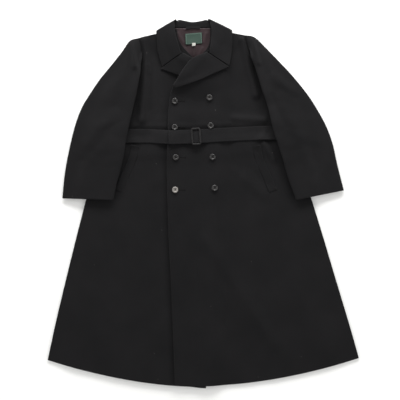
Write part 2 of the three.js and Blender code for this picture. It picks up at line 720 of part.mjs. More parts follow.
function addButton({ x, y }, index) {
  const foot = pileTop(x, y, 0, STEEP) + GAP;
  const disc = Math.max(pileTop(x, y, BUTTON_RADIUS, STEEP) + GAP, foot + STUB_HEIGHT);
  const profile = [
    new THREE.Vector2(0, foot),
    new THREE.Vector2(STUB_RADIUS, foot),
    new THREE.Vector2(STUB_RADIUS, disc),
    ...BUTTON_DISC.map(({ radius, height }) => new THREE.Vector2(radius, disc + height)),
  ];
  const lathe = new THREE.LatheGeometry(profile, BUTTON_SEGMENTS);
  lathe.rotateX(Math.PI / 2);
  lathe.translate(x, y, 0);
  lathe.deleteAttribute("normal");
  lathe.deleteAttribute("uv");
  const color = index + 1 === PALE_BUTTON ? PALE_HORN : HORN;
  const material = new THREE.MeshStandardMaterial({ color, roughness: 0.35 });
  addPiece(`button_${index + 1}`, facingOut(mergeVertices(lathe, 1e-4)), material);
}

BUTTONS.forEach(addButton);

// Belt: a ribbon from the buckle round the wearer's right side, under the back, round the left
// side and through the buckle, with its tip lying on the first stretch
const BELT_STEP = 18;
const BELT_TURN_STEPS = 5;

function beltRun(fromX, toX) {
  const steps = Math.ceil(Math.abs(toX - fromX) / BELT_STEP);
  return drape(between(fromX, toX, steps, (x) => beltRow(x, beltMiddleY(x), 0)));
}

function beltTurn(topRow, side) {
  const rows = [];
  for (let step = 1; step < BELT_TURN_STEPS; step++) {
    const angle = Math.PI * step / BELT_TURN_STEPS;
    rows.push({ topRow, side, angle });
  }
  return rows;
}

function turnedPoint(point, side, angle, offset) {
  const high = point.z + offset;
  const low = BELT_THICKNESS - offset;
  const radius = (high - low) / 2;
  const x = point.x + side * radius * Math.sin(angle);
  return new THREE.Vector3(x, point.y, low + radius * (1 + Math.cos(angle)));
}

const firstRun = beltRun(BELT_END_X, beltRightX);
lay(raised(firstRun, BELT_THICKNESS));

// Buckle bar between the two stretches of belt
const belowBar = firstRun.flat().filter((point) => Math.abs(point.x - BUCKLE_X) < 2 * BUCKLE_WIDTH);
const barBottom = Math.max(...belowBar.map((point) => point.z)) + BELT_THICKNESS + GAP;
const barTop = barBottom + BUCKLE_BAR / 2;
for (let y = BUCKLE_Y - BELT_WIDTH / 2; y <= BUCKLE_Y + BELT_WIDTH / 2; y += CELL) {
  raisePile(new THREE.Vector3(BUCKLE_X, y, barTop));
}
const lastRun = beltRun(beltLeftX, BELT_TIP_X);
lay(raised(lastRun, BELT_THICKNESS));

function beltSide(offset) {
  const turns = [
    beltTurn(firstRun.at(-1), -1),
    beltTurn(lastRun[0], 1).reverse(),
  ].map((rows) => rows.map(({ topRow, side, angle }) => (
    topRow.map((point) => turnedPoint(point, side, angle, offset))
  )));
  return [
    ...raised(firstRun, offset),
    ...turns[0],
    ...raised(beltBack, BELT_THICKNESS - offset),
    ...turns[1],
    ...raised(lastRun, offset),
  ];
}

addPiece("belt", wallGeometry(beltSide(0), beltSide(BELT_THICKNESS)), clothMaterial(COAT_CLOTH));
lay(beltSide(BELT_THICKNESS));

// Buckle: a rounded frame over the belt, with a bar below it, joined at both ends
function roundedRectangle(width, height, corner) {
  const shape = new THREE.Shape();
  const right = width / 2;
  const top = height / 2;
  shape.moveTo(-right + corner, -top);
  shape.lineTo(right - corner, -top);
  shape.absarc(right - corner, -top + corner, corner, -Math.PI / 2, 0);
  shape.lineTo(right, top - corner);
  shape.absarc(right - corner, top - corner, corner, 0, Math.PI / 2);
  shape.lineTo(-right + corner, top);
  shape.absarc(-right + corner, top - corner, corner, Math.PI / 2, Math.PI);
  shape.lineTo(-right, -top + corner);
  shape.absarc(-right + corner, -top + corner, corner, Math.PI, 1.5 * Math.PI);
  return shape;
}

function toSolid(geometry) {
  const plain = geometry.clone();
  plain.deleteAttribute("normal");
  plain.deleteAttribute("uv");
  const merged = mergeVertices(plain, 1e-4);
  const mesh = new wasm.Mesh({
    numProp: 3,
    vertProperties: new Float32Array(merged.attributes.position.array),
    triVerts: new Uint32Array(merged.index.array),
  });
  return new wasm.Manifold(mesh);
}

function fromSolid(solid) {
  const mesh = solid.getMesh();
  const geometry = new THREE.BufferGeometry();
  geometry.setAttribute("position", new THREE.BufferAttribute(new Float32Array(mesh.vertProperties), 3));
  geometry.setIndex(new THREE.BufferAttribute(new Uint32Array(mesh.triVerts), 1));
  geometry.computeVertexNormals();
  return geometry;
}

const buckleTop = pileTop(BUCKLE_X, BUCKLE_Y, BUCKLE_WIDTH / 2);
const buckleFrameZ = buckleTop + GAP;
const frameShape = roundedRectangle(BUCKLE_WIDTH, BUCKLE_HEIGHT, BUCKLE_CORNER);
const holeWidth = BUCKLE_WIDTH - 2 * BUCKLE_BAND;
const holeHeight = BELT_WIDTH + BELT_ROOM;
frameShape.holes.push(roundedRectangle(holeWidth, holeHeight, BUCKLE_HOLE_CORNER));
const frameGeometry = new THREE.ExtrudeGeometry(frameShape, {
  depth: BUCKLE_THICKNESS - 2 * BUCKLE_BEVEL,
  bevelThickness: BUCKLE_BEVEL,
  bevelSize: BUCKLE_BEVEL,
  bevelSegments: 1,
  curveSegments: 2,
});
frameGeometry.translate(0, 0, buckleFrameZ + BUCKLE_BEVEL);
const barHeight = barTop - barBottom;
const barGeometry = new THREE.BoxGeometry(BUCKLE_BAR, BUCKLE_HEIGHT - BUCKLE_BAND, barHeight);
barGeometry.translate(0, 0, barBottom + barHeight / 2);
const postDepth = (BUCKLE_HEIGHT - holeHeight) / 2 - 2 * BUCKLE_BEVEL;
const postTop = buckleFrameZ + BUCKLE_THICKNESS / 2;
const posts = [-1, 1].map((end) => {
  const post = new THREE.BoxGeometry(BUCKLE_BAR * 2, postDepth, postTop - barBottom);
  post.translate(0, end * (BUCKLE_HEIGHT / 2 - BUCKLE_BEVEL - postDepth / 2), (postTop + barBottom) / 2);
  return post;
});
const buckleParts = [frameGeometry, barGeometry, ...posts].map(toSolid);
const buckleGeometry = fromSolid(buckleParts.reduce((solid, piece) => solid.add(piece)));
buckleGeometry.rotateZ(BUCKLE_TILT);
buckleGeometry.translate(BUCKLE_X, BUCKLE_Y, 0);
addPiece("buckle", buckleGeometry, new THREE.MeshStandardMaterial({ color: BUCKLE_SHELL, roughness: 0.3 }));

// Pocket welts
const welt = { rows: 9, columns: 3, thickness: CLOTH, color: COAT_CLOTH };
addSmallPanel({ name: "pocket_welt_right", levels: RIGHT_POCKET, ...welt });
addSmallPanel({ name: "pocket_welt_left", levels: LEFT_POCKET, ...welt });

// Sleeves: flattened tubes, sewn to the armhole and lying over the sides of the body
const SLEEVE_ROWS = 24;
const SLEEVE_POINTS = 18;
const MOUTH_LEVEL = 0.06;
const MOUTH_AIR = 0.6;
const MOUTH_REACH = 8;
const SLEEVE_LENGTH = 600;
const REACH_SHARE = 0.17;
const SLEEVE_SQUARENESS = 0.6;
// The body lies under this part of the sleeve's width at the armhole
const BODY_FROM = 0.5;
const BODY_TO = 0.9;

function sleeveLine(levels, armhole, mouthEnd, side) {
  const outer = curveThrough(levels, "outerX", "outerY");
  const inner = curveThrough(levels, "innerX", "innerY");
  return (level, share) => {
    const straight = new THREE.Vector3().lerpVectors(outer.getPoint(level), inner.getPoint(level), share);
    const seam = armhole.getPoint(1 - share * mouthEnd);
    seam.x += side * SEAM_GAP;
    return seam.lerp(straight, THREE.MathUtils.smoothstep(level, 0, MOUTH_LEVEL));
  };
}

// Share of the sleeve's width and height at one point round its flattened section
function sleeveRing(step) {
  const angle = 2 * Math.PI * step / SLEEVE_POINTS;
  return { share: 0.5 - 0.5 * Math.cos(angle), lift: Math.sin(angle) };
}

function flattenedLift(lift) {
  return Math.sign(lift) * Math.abs(lift) ** SLEEVE_SQUARENESS;
}

function addSleeve(name, levels, frontLevels, mouthEnd, side, folds) {
  const line = sleeveLine(levels, curveThrough(frontLevels, "outerX", "outerY"), mouthEnd, side);
  const lowerSide = [];
  const upperSide = [];
  const topSurface = [];
  for (let row = 0; row < SLEEVE_ROWS; row++) {
    const level = row / (SLEEVE_ROWS - 1);
    const open = THREE.MathUtils.smoothstep(level, 0, MOUTH_LEVEL * 2);
    const width = line(level, 0).distanceTo(line(level, 1));
    const air = THREE.MathUtils.lerp(MOUTH_AIR, SLEEVE_AIR, open);
    const halfHeight = CLOTH + air / 2;
    const openReach = Math.max(width * REACH_SHARE, SLEEVE_LENGTH / SLEEVE_ROWS);
    const reach = THREE.MathUtils.lerp(MOUTH_REACH, openReach, open);
    const inset = CLOTH / width;
    const outerRing = [];
    const innerRing = [];
    for (let step = 0; step < SLEEVE_POINTS; step++) {
      const { share, lift } = sleeveRing(step);
      const point = line(level, share);
      const overBody = Math.max(open, THREE.MathUtils.smoothstep(share, BODY_FROM, BODY_TO));
      const rest = pileTop(point.x, point.y, reach) * overBody + (overBody > 0 ? GAP : 0);
      const crease = Math.max(0, lift) * foldHeight(folds, point.x, point.y);
      const middle = rest + halfHeight + crease;
      outerRing.push(point.clone().setZ(middle + halfHeight * flattenedLift(lift)));
      const innerPoint = line(level, THREE.MathUtils.clamp(share, inset, 1 - inset));
      innerRing.push(innerPoint.setZ(middle + (halfHeight - CLOTH) * flattenedLift(lift)));
    }
    lowerSide.push(innerRing);
    upperSide.push(outerRing);
    topSurface.push(outerRing.slice(0, SLEEVE_POINTS / 2 + 1));
  }
  addPiece(name, wallGeometry(lowerSide, upperSide, true), clothMaterial(COAT_CLOTH));
  lay(topSurface);
}

// Share of the side's length, from the shoulder down, that each armhole takes up on top
const RIGHT_MOUTH_END = 0.18;
const LEFT_MOUTH_END = 0.13;
addSleeve("sleeve_right", RIGHT_SLEEVE, UNDER_FRONT, RIGHT_MOUTH_END, -1, RIGHT_SLEEVE_FOLDS);
addSleeve("sleeve_left", LEFT_SLEEVE, TOP_FRONT, LEFT_MOUTH_END, 1, LEFT_SLEEVE_FOLDS);

export default coat;
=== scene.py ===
import math

import bpy
import numpy as np
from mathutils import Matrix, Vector


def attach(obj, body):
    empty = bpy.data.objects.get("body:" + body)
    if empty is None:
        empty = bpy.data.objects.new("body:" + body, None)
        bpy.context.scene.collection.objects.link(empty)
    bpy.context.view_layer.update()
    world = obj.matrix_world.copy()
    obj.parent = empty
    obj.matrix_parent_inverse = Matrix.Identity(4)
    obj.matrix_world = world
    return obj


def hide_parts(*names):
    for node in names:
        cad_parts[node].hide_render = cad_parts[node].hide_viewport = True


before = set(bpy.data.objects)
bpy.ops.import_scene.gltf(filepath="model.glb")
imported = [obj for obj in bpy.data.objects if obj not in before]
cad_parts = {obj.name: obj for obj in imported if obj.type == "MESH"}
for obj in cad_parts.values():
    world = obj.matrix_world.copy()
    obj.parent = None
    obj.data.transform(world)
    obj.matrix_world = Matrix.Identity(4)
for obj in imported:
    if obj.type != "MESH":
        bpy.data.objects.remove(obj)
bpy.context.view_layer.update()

# Lengths are in millimetres up to the point where a mesh, light or camera is made
MM = 0.001

# Camera straight above the coat, at the distance that gives the photograph's frame
CAMERA_X = -10.56
CAMERA_Y = 8.94
CAMERA_HEIGHT = 3000
VIEW_WIDTH = 1300

camera_data = bpy.data.cameras.new("camera")
camera_data.sensor_width = 36
camera_data.lens = camera_data.sensor_width * CAMERA_HEIGHT / VIEW_WIDTH
camera = bpy.data.objects.new("camera", camera_data)
camera.location = Vector((CAMERA_X, CAMERA_Y, CAMERA_HEIGHT)) * MM
bpy.context.collection.objects.link(camera)
bpy.context.scene.camera = camera

# Cloth and the gaps between pieces
CLOTH = 2.4
THIN_CLOTH = 1
GAP = 0.3
SEAM_GAP = 0.8

# The coat as a whole
HEM_DEPTH = 594
HEM_RISE = 85
HEM_HALF_WIDTH = 500
HEM_MIDDLE_X = -10
HEM_ROUNDNESS = 1.85
UNDER_FRONT_DROP = 3
CORNER_DROP = 4
CORNER_START_X = -50
NECK_Y = 567
NECK_MIDDLE_X = -33

# How full the laid cloth stands
FRONT_FULLNESS = 3
FULLNESS_RUN = 110
FOLD_RUN = 14
MID_AIR = 0.5
LAPEL_PUFF = 3
SLEEVE_AIR = 8
DRAPE_SLOPE = 0.25

# Outer edge of each front, from the hem up the side and round the armhole to the shoulder,
# beside the front edge, roll line and neck edge: outer x, outer y, inner x, inner y
UNDER_FRONT = [
    (-505, -511, 9, -596),
    (-479, -390, 14, -420),
    (-446, -251, 18, -251),
    (-414, -121, 22, -121),
    (-381, 9, 25, 9),
    (-349, 139, 30, 139),
    (-331, 212, 33, 212),
    (-311, 285, 35, 300),
    (-296, 340, 28, 368),
    (-246, 386, -11, 431),
    (-213, 428, -37, 466),
    (-201, 464, -69, 486),
    (-203, 500, -92, 520),
    (-212, 534, -99, 560),
]
TOP_FRONT = [
    (505, -511, -92, -592),
    (480, -420, -97, -446),
    (430, -251, -105, -251),
    (392, -121, -112, -121),
    (352, 9, -116, 9),
    (308, 139, -118, 139),
    (284, 212, -115, 212),
    (270, 288, -113, 300),
    (260, 338, -103, 364),
    (222, 386, -65, 423),
    (190, 424, -28, 467),
    (165, 464, 12, 489),
    (149, 503, 34, 520),
    (135, 543, 42, 561),
]

# Shoulder and back neck line, from the wearer's right to the left: x, y
SHOULDER_LINE = [
    (-212, 534),
    (-99, 560),
    (-80, 566),
    (NECK_MIDDLE_X, NECK_Y),
    (20, 566),
    (42, 561),
    (135, 543),
]

# Each lapel from its break point at the front edge up to the collar: free edge, then roll line
UNDER_LAPEL = [
    (8, 377, 16, 389),
    (-27, 388, -6, 425),
    (-74, 409, -30, 461),
    (-108, 423, -52, 475),
    (-139, 434, -67, 483),
]
TOP_LAPEL = [
    (-92, 369, -98, 376),
    (-59, 379, -84, 396),
    (-12, 395, -65, 426),
    (38, 418, -36, 462),
    (83, 440, 13, 484),
]

# Sleeves from the armhole to the cuff: outer edge, then the edge beside the body
RIGHT_SLEEVE = [
    (-213, 535, -201, 446),
    (-236, 525, -203, 418),
    (-262, 491, -208, 390),
    (-297, 447, -214, 358),
    (-334, 402, -221, 327),
    (-368, 352, -229, 292),
    (-393, 310, -236, 262),
    (-412, 262, -243, 230),
    (-425, 215, -250, 194),
    (-435, 171, -257, 150),
    (-445, 120, -266, 112),
    (-452, 70, -278, 67),
    (-457, 14, -291, 9),
]
LEFT_SLEEVE = [
    (136, 546, 149, 480),
    (164, 536, 154, 468),
    (197, 507, 164, 446),
    (240, 464, 172, 420),
    (286, 415, 181, 392),
    (322, 372, 190, 362),
    (350, 334, 201, 332),
    (375, 293, 212, 296),
    (395, 256, 220, 256),
    (411, 218, 230, 220),
    (423, 178, 243, 182),
    (431, 140, 257, 140),
    (443, 90, 272, 88),
    (456, 40, 300, 9),
]

# Collar fall round the neck: roll edge, then free edge, on the wearer's right front, round the
# shoulder, across the back, round the other shoulder and on the left front
COLLAR_RIGHT_LEAF = [
    (-71, 482, -133, 441),
    (-82, 518, -147, 492),
    (-91, 555, -150, 528),
    (-93, 588, -152, 552),
]
COLLAR_RIGHT_FOLD = (-88, 595, -152, 558)
COLLAR_BACK = [
    (-86, 591, -149, 553),
    (-78, 594, -128, 535),
    (-60, 591, -88, 518),
    (NECK_MIDDLE_X, 587, NECK_MIDDLE_X, 514),
    (-6, 591, 22, 518),
    (10, 594, 66, 535),
    (15, 592, 90, 556),
]
COLLAR_LEFT_FOLD = (17, 597, 94, 560)
COLLAR_LEFT_LEAF = [(21, 589, 94, 554), (26, 555, 94, 526), (24, 518, 92, 486), (19, 482, 84, 443)]
COLLAR_STAND = [
    (-99, 577, -98, NECK_Y + SEAM_GAP),
    (-84, 588, -80, NECK_Y + SEAM_GAP),
    (-62, 588, -58, NECK_Y + SEAM_GAP),
    (NECK_MIDDLE_X, 583, NECK_MIDDLE_X, NECK_Y + SEAM_GAP),
    (-5, 587, -8, NECK_Y + SEAM_GAP),
    (14, 587, 12, NECK_Y + SEAM_GAP),
    (27, 577, 26, NECK_Y + SEAM_GAP),
]

# What shows inside the neck
NECK_LINING = [(-70, 440, 10, 440), (-86, 505, 20, 505), (-92, 566, 25, 566)]
RIGHT_FACING = [
    (-48, 452, -24, 460),
    (-72, 472, -44, 482),
    (-94, 496, -66, 506),
    (-108, 530, -80, 532),
    (-112, 555, -86, 564),
]
LEFT_FACING = [
    (0, 446, -22, 458),
    (20, 466, -6, 480),
    (38, 492, 12, 500),
    (48, 524, 22, 528),
    (52, 552, 22, 564),
]
NECK_LABEL = [(-57, 512, -4, 516), (-58, 547, -4, 552)]
SIZE_TAG = [(-36, 507, -25, 508), (-36, 517, -25, 518)]
HANGER_LOOP = [(-57, 562, -57, 570), (-34, 564, -34, 571), (-10, 563, -10, 571)]

# Slanted pocket welts, from the bottom up: sewn edge, then free edge
RIGHT_POCKET = [(-262, 34, -288, 41), (-243, 80, -268, 87), (-217, 142, -242, 147), (-208, 184, -233, 188)]
LEFT_POCKET = [(214, 34, 240, 41), (195, 80, 220, 87), (169, 142, 194, 147), (160, 184, 184, 188)]

# Belt, with the middle line of its run across the front, from the wearer's right to the left
BELT_WIDTH = 44
BELT_THICKNESS = 2.6
BELT_FRONT = [
    (-332, 210),
    (-248, 216),
    (-173, 216),
    (-102, 211),
    (-24, 214),
    (54, 219),
    (119, 223),
    (191, 226),
    (282, 226),
]
BELT_BACK_Y = 214
BELT_TIP_X = -112

# Buckle and buttons
BUCKLE_X = -23
BUCKLE_Y = 214
BUCKLE_WIDTH = 31
BUCKLE_HEIGHT = 55
BUCKLE_BAND = 5
BUCKLE_THICKNESS = 3
BUCKLE_BAR = 4
BUCKLE_CORNER = 7
BUCKLE_TILT = math.radians(4)
BELT_END_X = BUCKLE_X + 3
BUTTON_RADIUS = 9.8
BUTTON_HEIGHT = 3.4
STUB_HEIGHT = 1.2
BUTTONS = [(-92, 329), (-92, 244), (-89, 147), (-91, 42), (20, 340), (24, 249), (30, 148), (37, 48)]
# One button has pale horn: a painted glint, the lamp reflected in the rim of a button as dark as the others
PAINTED_GLINT_BUTTON = 4

# Folds and creases: from x, from y, to x, to y, rise (below zero for a trough), half width
UNDER_FRONT_FOLDS = [
    (-230, 251, -118, 248, 3, 7),
    (-186, 446, -192, 340, 10, 12),
    (-192, 340, -197, 268, 10, 13),
    (-163, 450, -156, 300, 2, 22),
    (-173, 150, -152, 70, 2.5, 22),
    (-300, -160, -345, -420, 2.5, 34),
    (-177, 410, -175, 300, -2.2, 9),
    (-192, 526, -186, 446, 9, 11),
    (-136, 330, -150, 262, 1.4, 12),
    (-222, 300, -236, 246, 1.6, 11),
    (-120, -380, -140, -560, 1.3, 30),
]
TOP_FRONT_FOLDS = [
    (-90, 246, 190, 261, 3, 7),
    (197, 192, 226, 142, 5, 9),
    (10, -126, 119, -284, 5, 24),
    (119, -284, 228, -455, 5, 24),
    (134, 78, 196, 28, 4, 18),
    (98, 273, 196, 268, 6, 10),
    (126, 528, 146, 446, 9, 11),
    (146, 446, 170, 350, 9, 12),
    (96, 104, 128, 88, 1.6, 10),
    (60, 262, 120, 254, 1.4, 10),
    (150, 118, 204, 60, -1.2, 9),
    (-40, 330, -30, 262, 1.2, 16),
    (60, 380, 96, 320, 1.4, 18),
    (300, -260, 372, -470, 2.2, 36),
]
RIGHT_SLEEVE_FOLDS = [
    (-226, 520, -221, 440, 7, 10),
    (-282, 282, -336, 240, 4, 20),
    (-336, 240, -398, 160, 3.5, 20),
    (-270, 420, -300, 340, 3, 24),
    (-262, 262, -318, 232, -1.6, 9),
    (-300, 200, -352, 150, 2, 16),
    (-240, 470, -252, 410, 2, 18),
    (-392, 120, -400, 60, 1.6, 18),
]
LEFT_SLEEVE_FOLDS = [
    (158, 525, 178, 452, 7, 10),
    (225, 404, 292, 366, 3.5, 20),
    (222, 345, 264, 244, -2.4, 8),
    (244, 340, 284, 250, 2.5, 18),
    (352, 268, 366, 205, 3.5, 20),
    (400, 130, 372, 66, 2.5, 20),
    (250, 372, 300, 338, -1.4, 9),
    (262, 250, 312, 214, 2, 14),
    (330, 160, 356, 110, 1.6, 16),
    (186, 486, 206, 430, 2, 16),
]
LINING_FOLDS = [
    (-31, 506, -32, 440, -1.4, 1.4),
    (-28, 506, -29, 440, 1.4, 3),
    (-60, 561, -10, 562, 0.9, 3),
    (-82, 548, -66, 520, 1.0, 6),
    (10, 548, 2, 520, 1.0, 6),
    (-58, 500, -44, 470, 0.9, 5),
    (-4, 500, -16, 470, 0.9, 5),
]


# The pile holds the height of the topmost cloth over a grid of square cells
CELL = 3
PILE_HALF_WIDTH = 561
PILE_HALF_LENGTH = 642
TALLEST_STEP = 12
pile = np.zeros((2 * PILE_HALF_LENGTH // CELL, 2 * PILE_HALF_WIDTH // CELL))


def finer(surface, span):
    """A grid of points with more points between, none farther apart than the span."""
    for axis in (0, 1):
        steps = np.linalg.norm(np.diff(surface, axis=axis), axis=2)
        parts = max(1, math.ceil(steps.max() / span))
        count = surface.shape[axis]
        place = np.linspace(0, count - 1, (count - 1) * parts + 1)
        before = np.minimum(place.astype(int), count - 2)
        share = (place - before).reshape((-1, 1, 1) if axis == 0 else (1, -1, 1))
        surface = surface.take(before, axis) * (1 - share) + surface.take(before + 1, axis) * share
    return surface


def lay(surface):
    """Lays a surface, given as rows of points, on the pile."""
    points = finer(surface, CELL / 2).reshape(-1, 3)
    rows = ((points[:, 1] + PILE_HALF_LENGTH) / CELL).astype(int)
    columns = ((points[:, 0] + PILE_HALF_WIDTH) / CELL).astype(int)
    np.maximum.at(pile, (rows, columns), points[:, 2])


def shifted(field, rows, columns):
    return np.roll(field, (rows, columns), (0, 1))


def widened(field, radius):
    """Each cell takes the highest value within a radius."""
    reach = math.ceil(radius / CELL)
    widest = field
    for rows in range(-reach, reach + 1):
        for columns in range(-reach, reach + 1):
            if math.hypot(rows, columns) * CELL <= radius + CELL / 2:
                widest = np.maximum(widest, shifted(field, rows, columns))
    return widest


def sloped(field, slope):
    """Gives every step in the pile a slope, as stiff cloth lying over it would have."""
    for _ in range(round(TALLEST_STEP / slope / CELL)):
        lower = field
        for rows in (-1, 0, 1):
            for columns in (-1, 0, 1):
                fall = slope * CELL * math.hypot(rows, columns)
                lower = np.maximum(lower, shifted(field, rows, columns) - fall)
        field = lower
    return field


def softened(field, radius):
    """Averages the field over a radius."""
    reach = math.ceil(radius / CELL)
    weights = np.hanning(2 * reach + 3)[1:-1]
    weights /= weights.sum()
    for axis in (0, 1):
        field = sum(weight * np.roll(field, step - reach, axis) for step, weight in enumerate(weights))
    return field


def read_field(field, points):
    """Value of a field at points, blended between cells."""
    rows = (points[..., 1] + PILE_HALF_LENGTH) / CELL - 0.5
    columns = (points[..., 0] + PILE_HALF_WIDTH) / CELL - 0.5
    row = rows.astype(int)
    column = columns.astype(int)
    up = rows - row
    along = columns - column
    near = field[row, column] * (1 - along) + field[row, column + 1] * along
    far = field[row + 1, column] * (1 - along) + field[row + 1, column + 1] * along
    return near * (1 - up) + far * up


def cleared(heap, reach=6, ease=12):
    """Height that cloth has to clear over a heap, with no sharp step in it."""
    return softened(sloped(widened(heap, reach + ease), DRAPE_SLOPE), ease)


def smooth_share(value, low, high):
    share = np.clip((value - low) / (high - low), 0, 1)
    return share * share * (3 - 2 * share)


def curve_through(points, shares):
    """Points on a smooth curve through the given ones, as evenly shared out as they are."""
    points = np.asarray(points, float)
    ends = np.vstack([2 * points[0] - points[1], points, 2 * points[-1] - points[-2]])
    place = np.asarray(shares) * (len(points) - 1)
    start = np.clip(place.astype(int), 0, len(points) - 2)
    part = (place - start)[..., None]
    before, here, after, beyond = (ends[start + step] for step in range(4))

    def spacing(first, second):
        return np.linalg.norm(second - first, axis=-1, keepdims=True) ** 0.5

    low, middle, high = spacing(before, here), spacing(here, after), spacing(after, beyond)
    leave = ((here - before) / low - (after - before) / (low + middle) + (after - here) / middle) * middle
    arrive = ((after - here) / middle - (beyond - here) / (middle + high) + (beyond - after) / high) * middle
    square = -3 * here + 3 * after - 2 * leave - arrive
    cube = 2 * here - 2 * after + leave + arrive
    return here + part * leave + part ** 2 * square + part ** 3 * cube


def line_height(line, x):
    """Height of a line of straight stretches, which runs on past its ends."""
    points = np.asarray(line, float)
    part = np.clip(np.searchsorted(points[:, 0], x), 1, len(points) - 1)
    start, end = points[part - 1], points[part]
    share = (x - start[..., 0]) / (end[..., 0] - start[..., 0])
    return start[..., 1] + share * (end[..., 1] - start[..., 1])


def hem_line(x):
    return -HEM_DEPTH + HEM_RISE * np.abs((x - HEM_MIDDLE_X) / HEM_HALF_WIDTH) ** HEM_ROUNDNESS


def under_hem_line(x):
    drop = UNDER_FRONT_DROP * (1 - smooth_share(-x, 0, HEM_HALF_WIDTH))
    return hem_line(x) - drop - CORNER_DROP * smooth_share(x, CORNER_START_X, 0)


def shoulder_line(x):
    return line_height(SHOULDER_LINE, x)


def fold_height(folds, points):
    """Soft ridges and troughs along lines, each a bell across its line that fades at both ends."""
    high = np.zeros(points.shape[:-1])
    low = np.zeros(points.shape[:-1])
    for from_x, from_y, to_x, to_y, rise, width in folds:
        along = np.array((to_x - from_x, to_y - from_y))
        length = np.hypot(*along)
        offset = points[..., :2] - (from_x, from_y)
        share = offset @ along / length ** 2
        outside = np.maximum(0, np.maximum(-share, share - 1)) * length
        across = np.abs(offset[..., 0] * along[1] - offset[..., 1] * along[0]) / length
        bell = rise * np.exp(-(across / width) ** 2 - (outside / width) ** 2)
        high = np.maximum(high, bell)
        low = np.minimum(low, bell)
    return high + low


def unevenness(points, seed, lengths=(230, 160, 110, 75)):
    """Slow rise and fall of laid cloth: long waves that cross, from -1 to 1."""
    chance = np.random.default_rng(seed)
    total = np.zeros(points.shape[:-1])
    for length in lengths:
        turn, phase, bend = chance.uniform(0, 2 * math.pi, 3)
        across = points[..., 0] * math.cos(turn) + points[..., 1] * math.sin(turn)
        along = points[..., 1] * math.cos(turn) - points[..., 0] * math.sin(turn)
        wander = 0.9 * np.sin(along * 2 * math.pi / (length * 2.3) + bend)
        total += length / sum(lengths) * np.sin(across * 2 * math.pi / length + phase + wander)
    return total


# Lines of points near each edge of a cloth piece: the rounded edge, then the row of stitches
EDGE_INSETS = np.array((0, 0.6, 1.8, 4.6, 6, 7.4))
EDGE_FULLNESS = np.array((0, 0.72, 1, 1, 1, 1))
STITCHED_FULLNESS = np.array((0, 0.72, 1, 1, 0.84, 1))
STITCH_LINE = 4
SMALL_PIECE = 24
# Lines beside a seam inside a panel, and how far the cloth is drawn in there
SEAM_INSETS = np.array((-3, -1.2, 0, 1.2, 3))
SEAM_DEPTH = 0.6
SEAM_WIDTH = 1.6


def edge_shares(length, count):
    """Shares along a length, evenly spaced but for the lines near both ends."""
    insets = EDGE_INSETS / length * min(1, length / SMALL_PIECE)
    middle = np.linspace(insets[-1], 1 - insets[-1], count + 2)[1:-1]
    return np.concatenate([insets, middle, 1 - insets[::-1]])


def edge_fullness(count, starts, ends):
    first = STITCHED_FULLNESS if starts else EDGE_FULLNESS
    last = STITCHED_FULLNESS if ends else EDGE_FULLNESS
    return np.concatenate([first, np.ones(count), last[::-1]])


def panel_plan(levels, spacing, seam_share=None):
    """Flat grid of a panel between its two edges, before it is laid."""
    levels = np.asarray(levels, float)
    rough = np.linspace(0, 1, 60)
    outer = curve_through(levels[:, :2], rough)
    inner = curve_through(levels[:, 2:], rough)
    width = np.linalg.norm(outer - inner, axis=1).max()
    length = np.linalg.norm(np.diff((outer + inner) / 2, axis=0), axis=1).sum()
    rows = edge_shares(length, max(2, round(length / spacing)))
    outer = curve_through(levels[:, :2], rows)
    inner = curve_through(levels[:, 2:], rows)
    count = max(2, round(width / spacing))
    widths = np.linalg.norm(outer - inner, axis=1)
    columns = np.array([edge_shares(width, count) for width in widths])
    if seam_share is not None:
        seam = seam_share + SEAM_INSETS / widths[:, None]
        columns = np.sort(np.concatenate([columns, seam], axis=1), axis=1)
    flat = outer[:, None] + (inner - outer)[:, None] * columns[..., None]
    return np.concatenate([flat, np.zeros_like(flat[..., :1])], axis=2)


def fullness(plan, stitched=()):
    """Share of the cloth's thickness at each point of a panel."""
    rows = edge_fullness(plan.shape[0] - 2 * len(EDGE_INSETS), "start" in stitched, "end" in stitched)
    columns = edge_fullness(plan.shape[1] - 2 * len(EDGE_INSETS), "outer" in stitched, "inner" in stitched)
    return np.minimum(rows[:, None], columns[None])


def bent_end(plan, end, run, line):
    """Bends the end row of a panel to a line, and the rows beside it less and less."""
    shift = line(plan[end, :, 0]) - plan[end, :, 1]
    rows = np.arange(len(plan)) / (len(plan) - 1)
    away = rows if end == 0 else 1 - rows
    bent = plan.copy()
    bent[..., 1] += (1 - smooth_share(away, 0, run))[:, None] * shift
    return bent


def draped(plan, air=0, reach=6, ease=12, heap=pile):
    """Rests a flat grid on the pile with air below it, and gives its lower side."""
    lower = plan.copy()
    lower[..., 2] = read_field(cleared(heap, reach, ease), plan) + GAP + air
    return lower


def raised(surface, height):
    upper = surface.copy()
    upper[..., 2] += height
    return upper


def cut_of(surface, ring=False):
    """Width, length and area, in metres, of the flat cut that a laid surface was made from."""
    if ring:
        surface = np.concatenate([surface, surface[:, :1]], axis=1)
    across = np.diff(surface, axis=1)
    along = np.diff(surface, axis=0)
    width = np.linalg.norm(across, axis=2).sum(axis=1).max()
    length = np.linalg.norm(along, axis=2).sum(axis=0).max()
    area = np.linalg.norm(np.cross(across[:-1], along[:, :-1]), axis=2).sum()
    return width * MM, length * MM, area * MM * MM


def mesh_object(name, points, faces):
    """A smooth object from points in millimetres, with its faces turned outward."""
    points = np.asarray(points, float) * MM
    mesh = bpy.data.meshes.new(name)
    mesh.from_pydata(points.tolist(), [], [list(face) for face in faces])
    corners = np.array([face[:3] for face in faces])
    first, second, third = (points[corners[:, corner]] for corner in range(3))
    if np.einsum("ij,ij->i", first, np.cross(second, third)).sum() < 0:
        mesh.flip_normals()
    mesh.shade_smooth()
    made = bpy.data.objects.new(name, mesh)
    bpy.context.collection.objects.link(made)
    return made


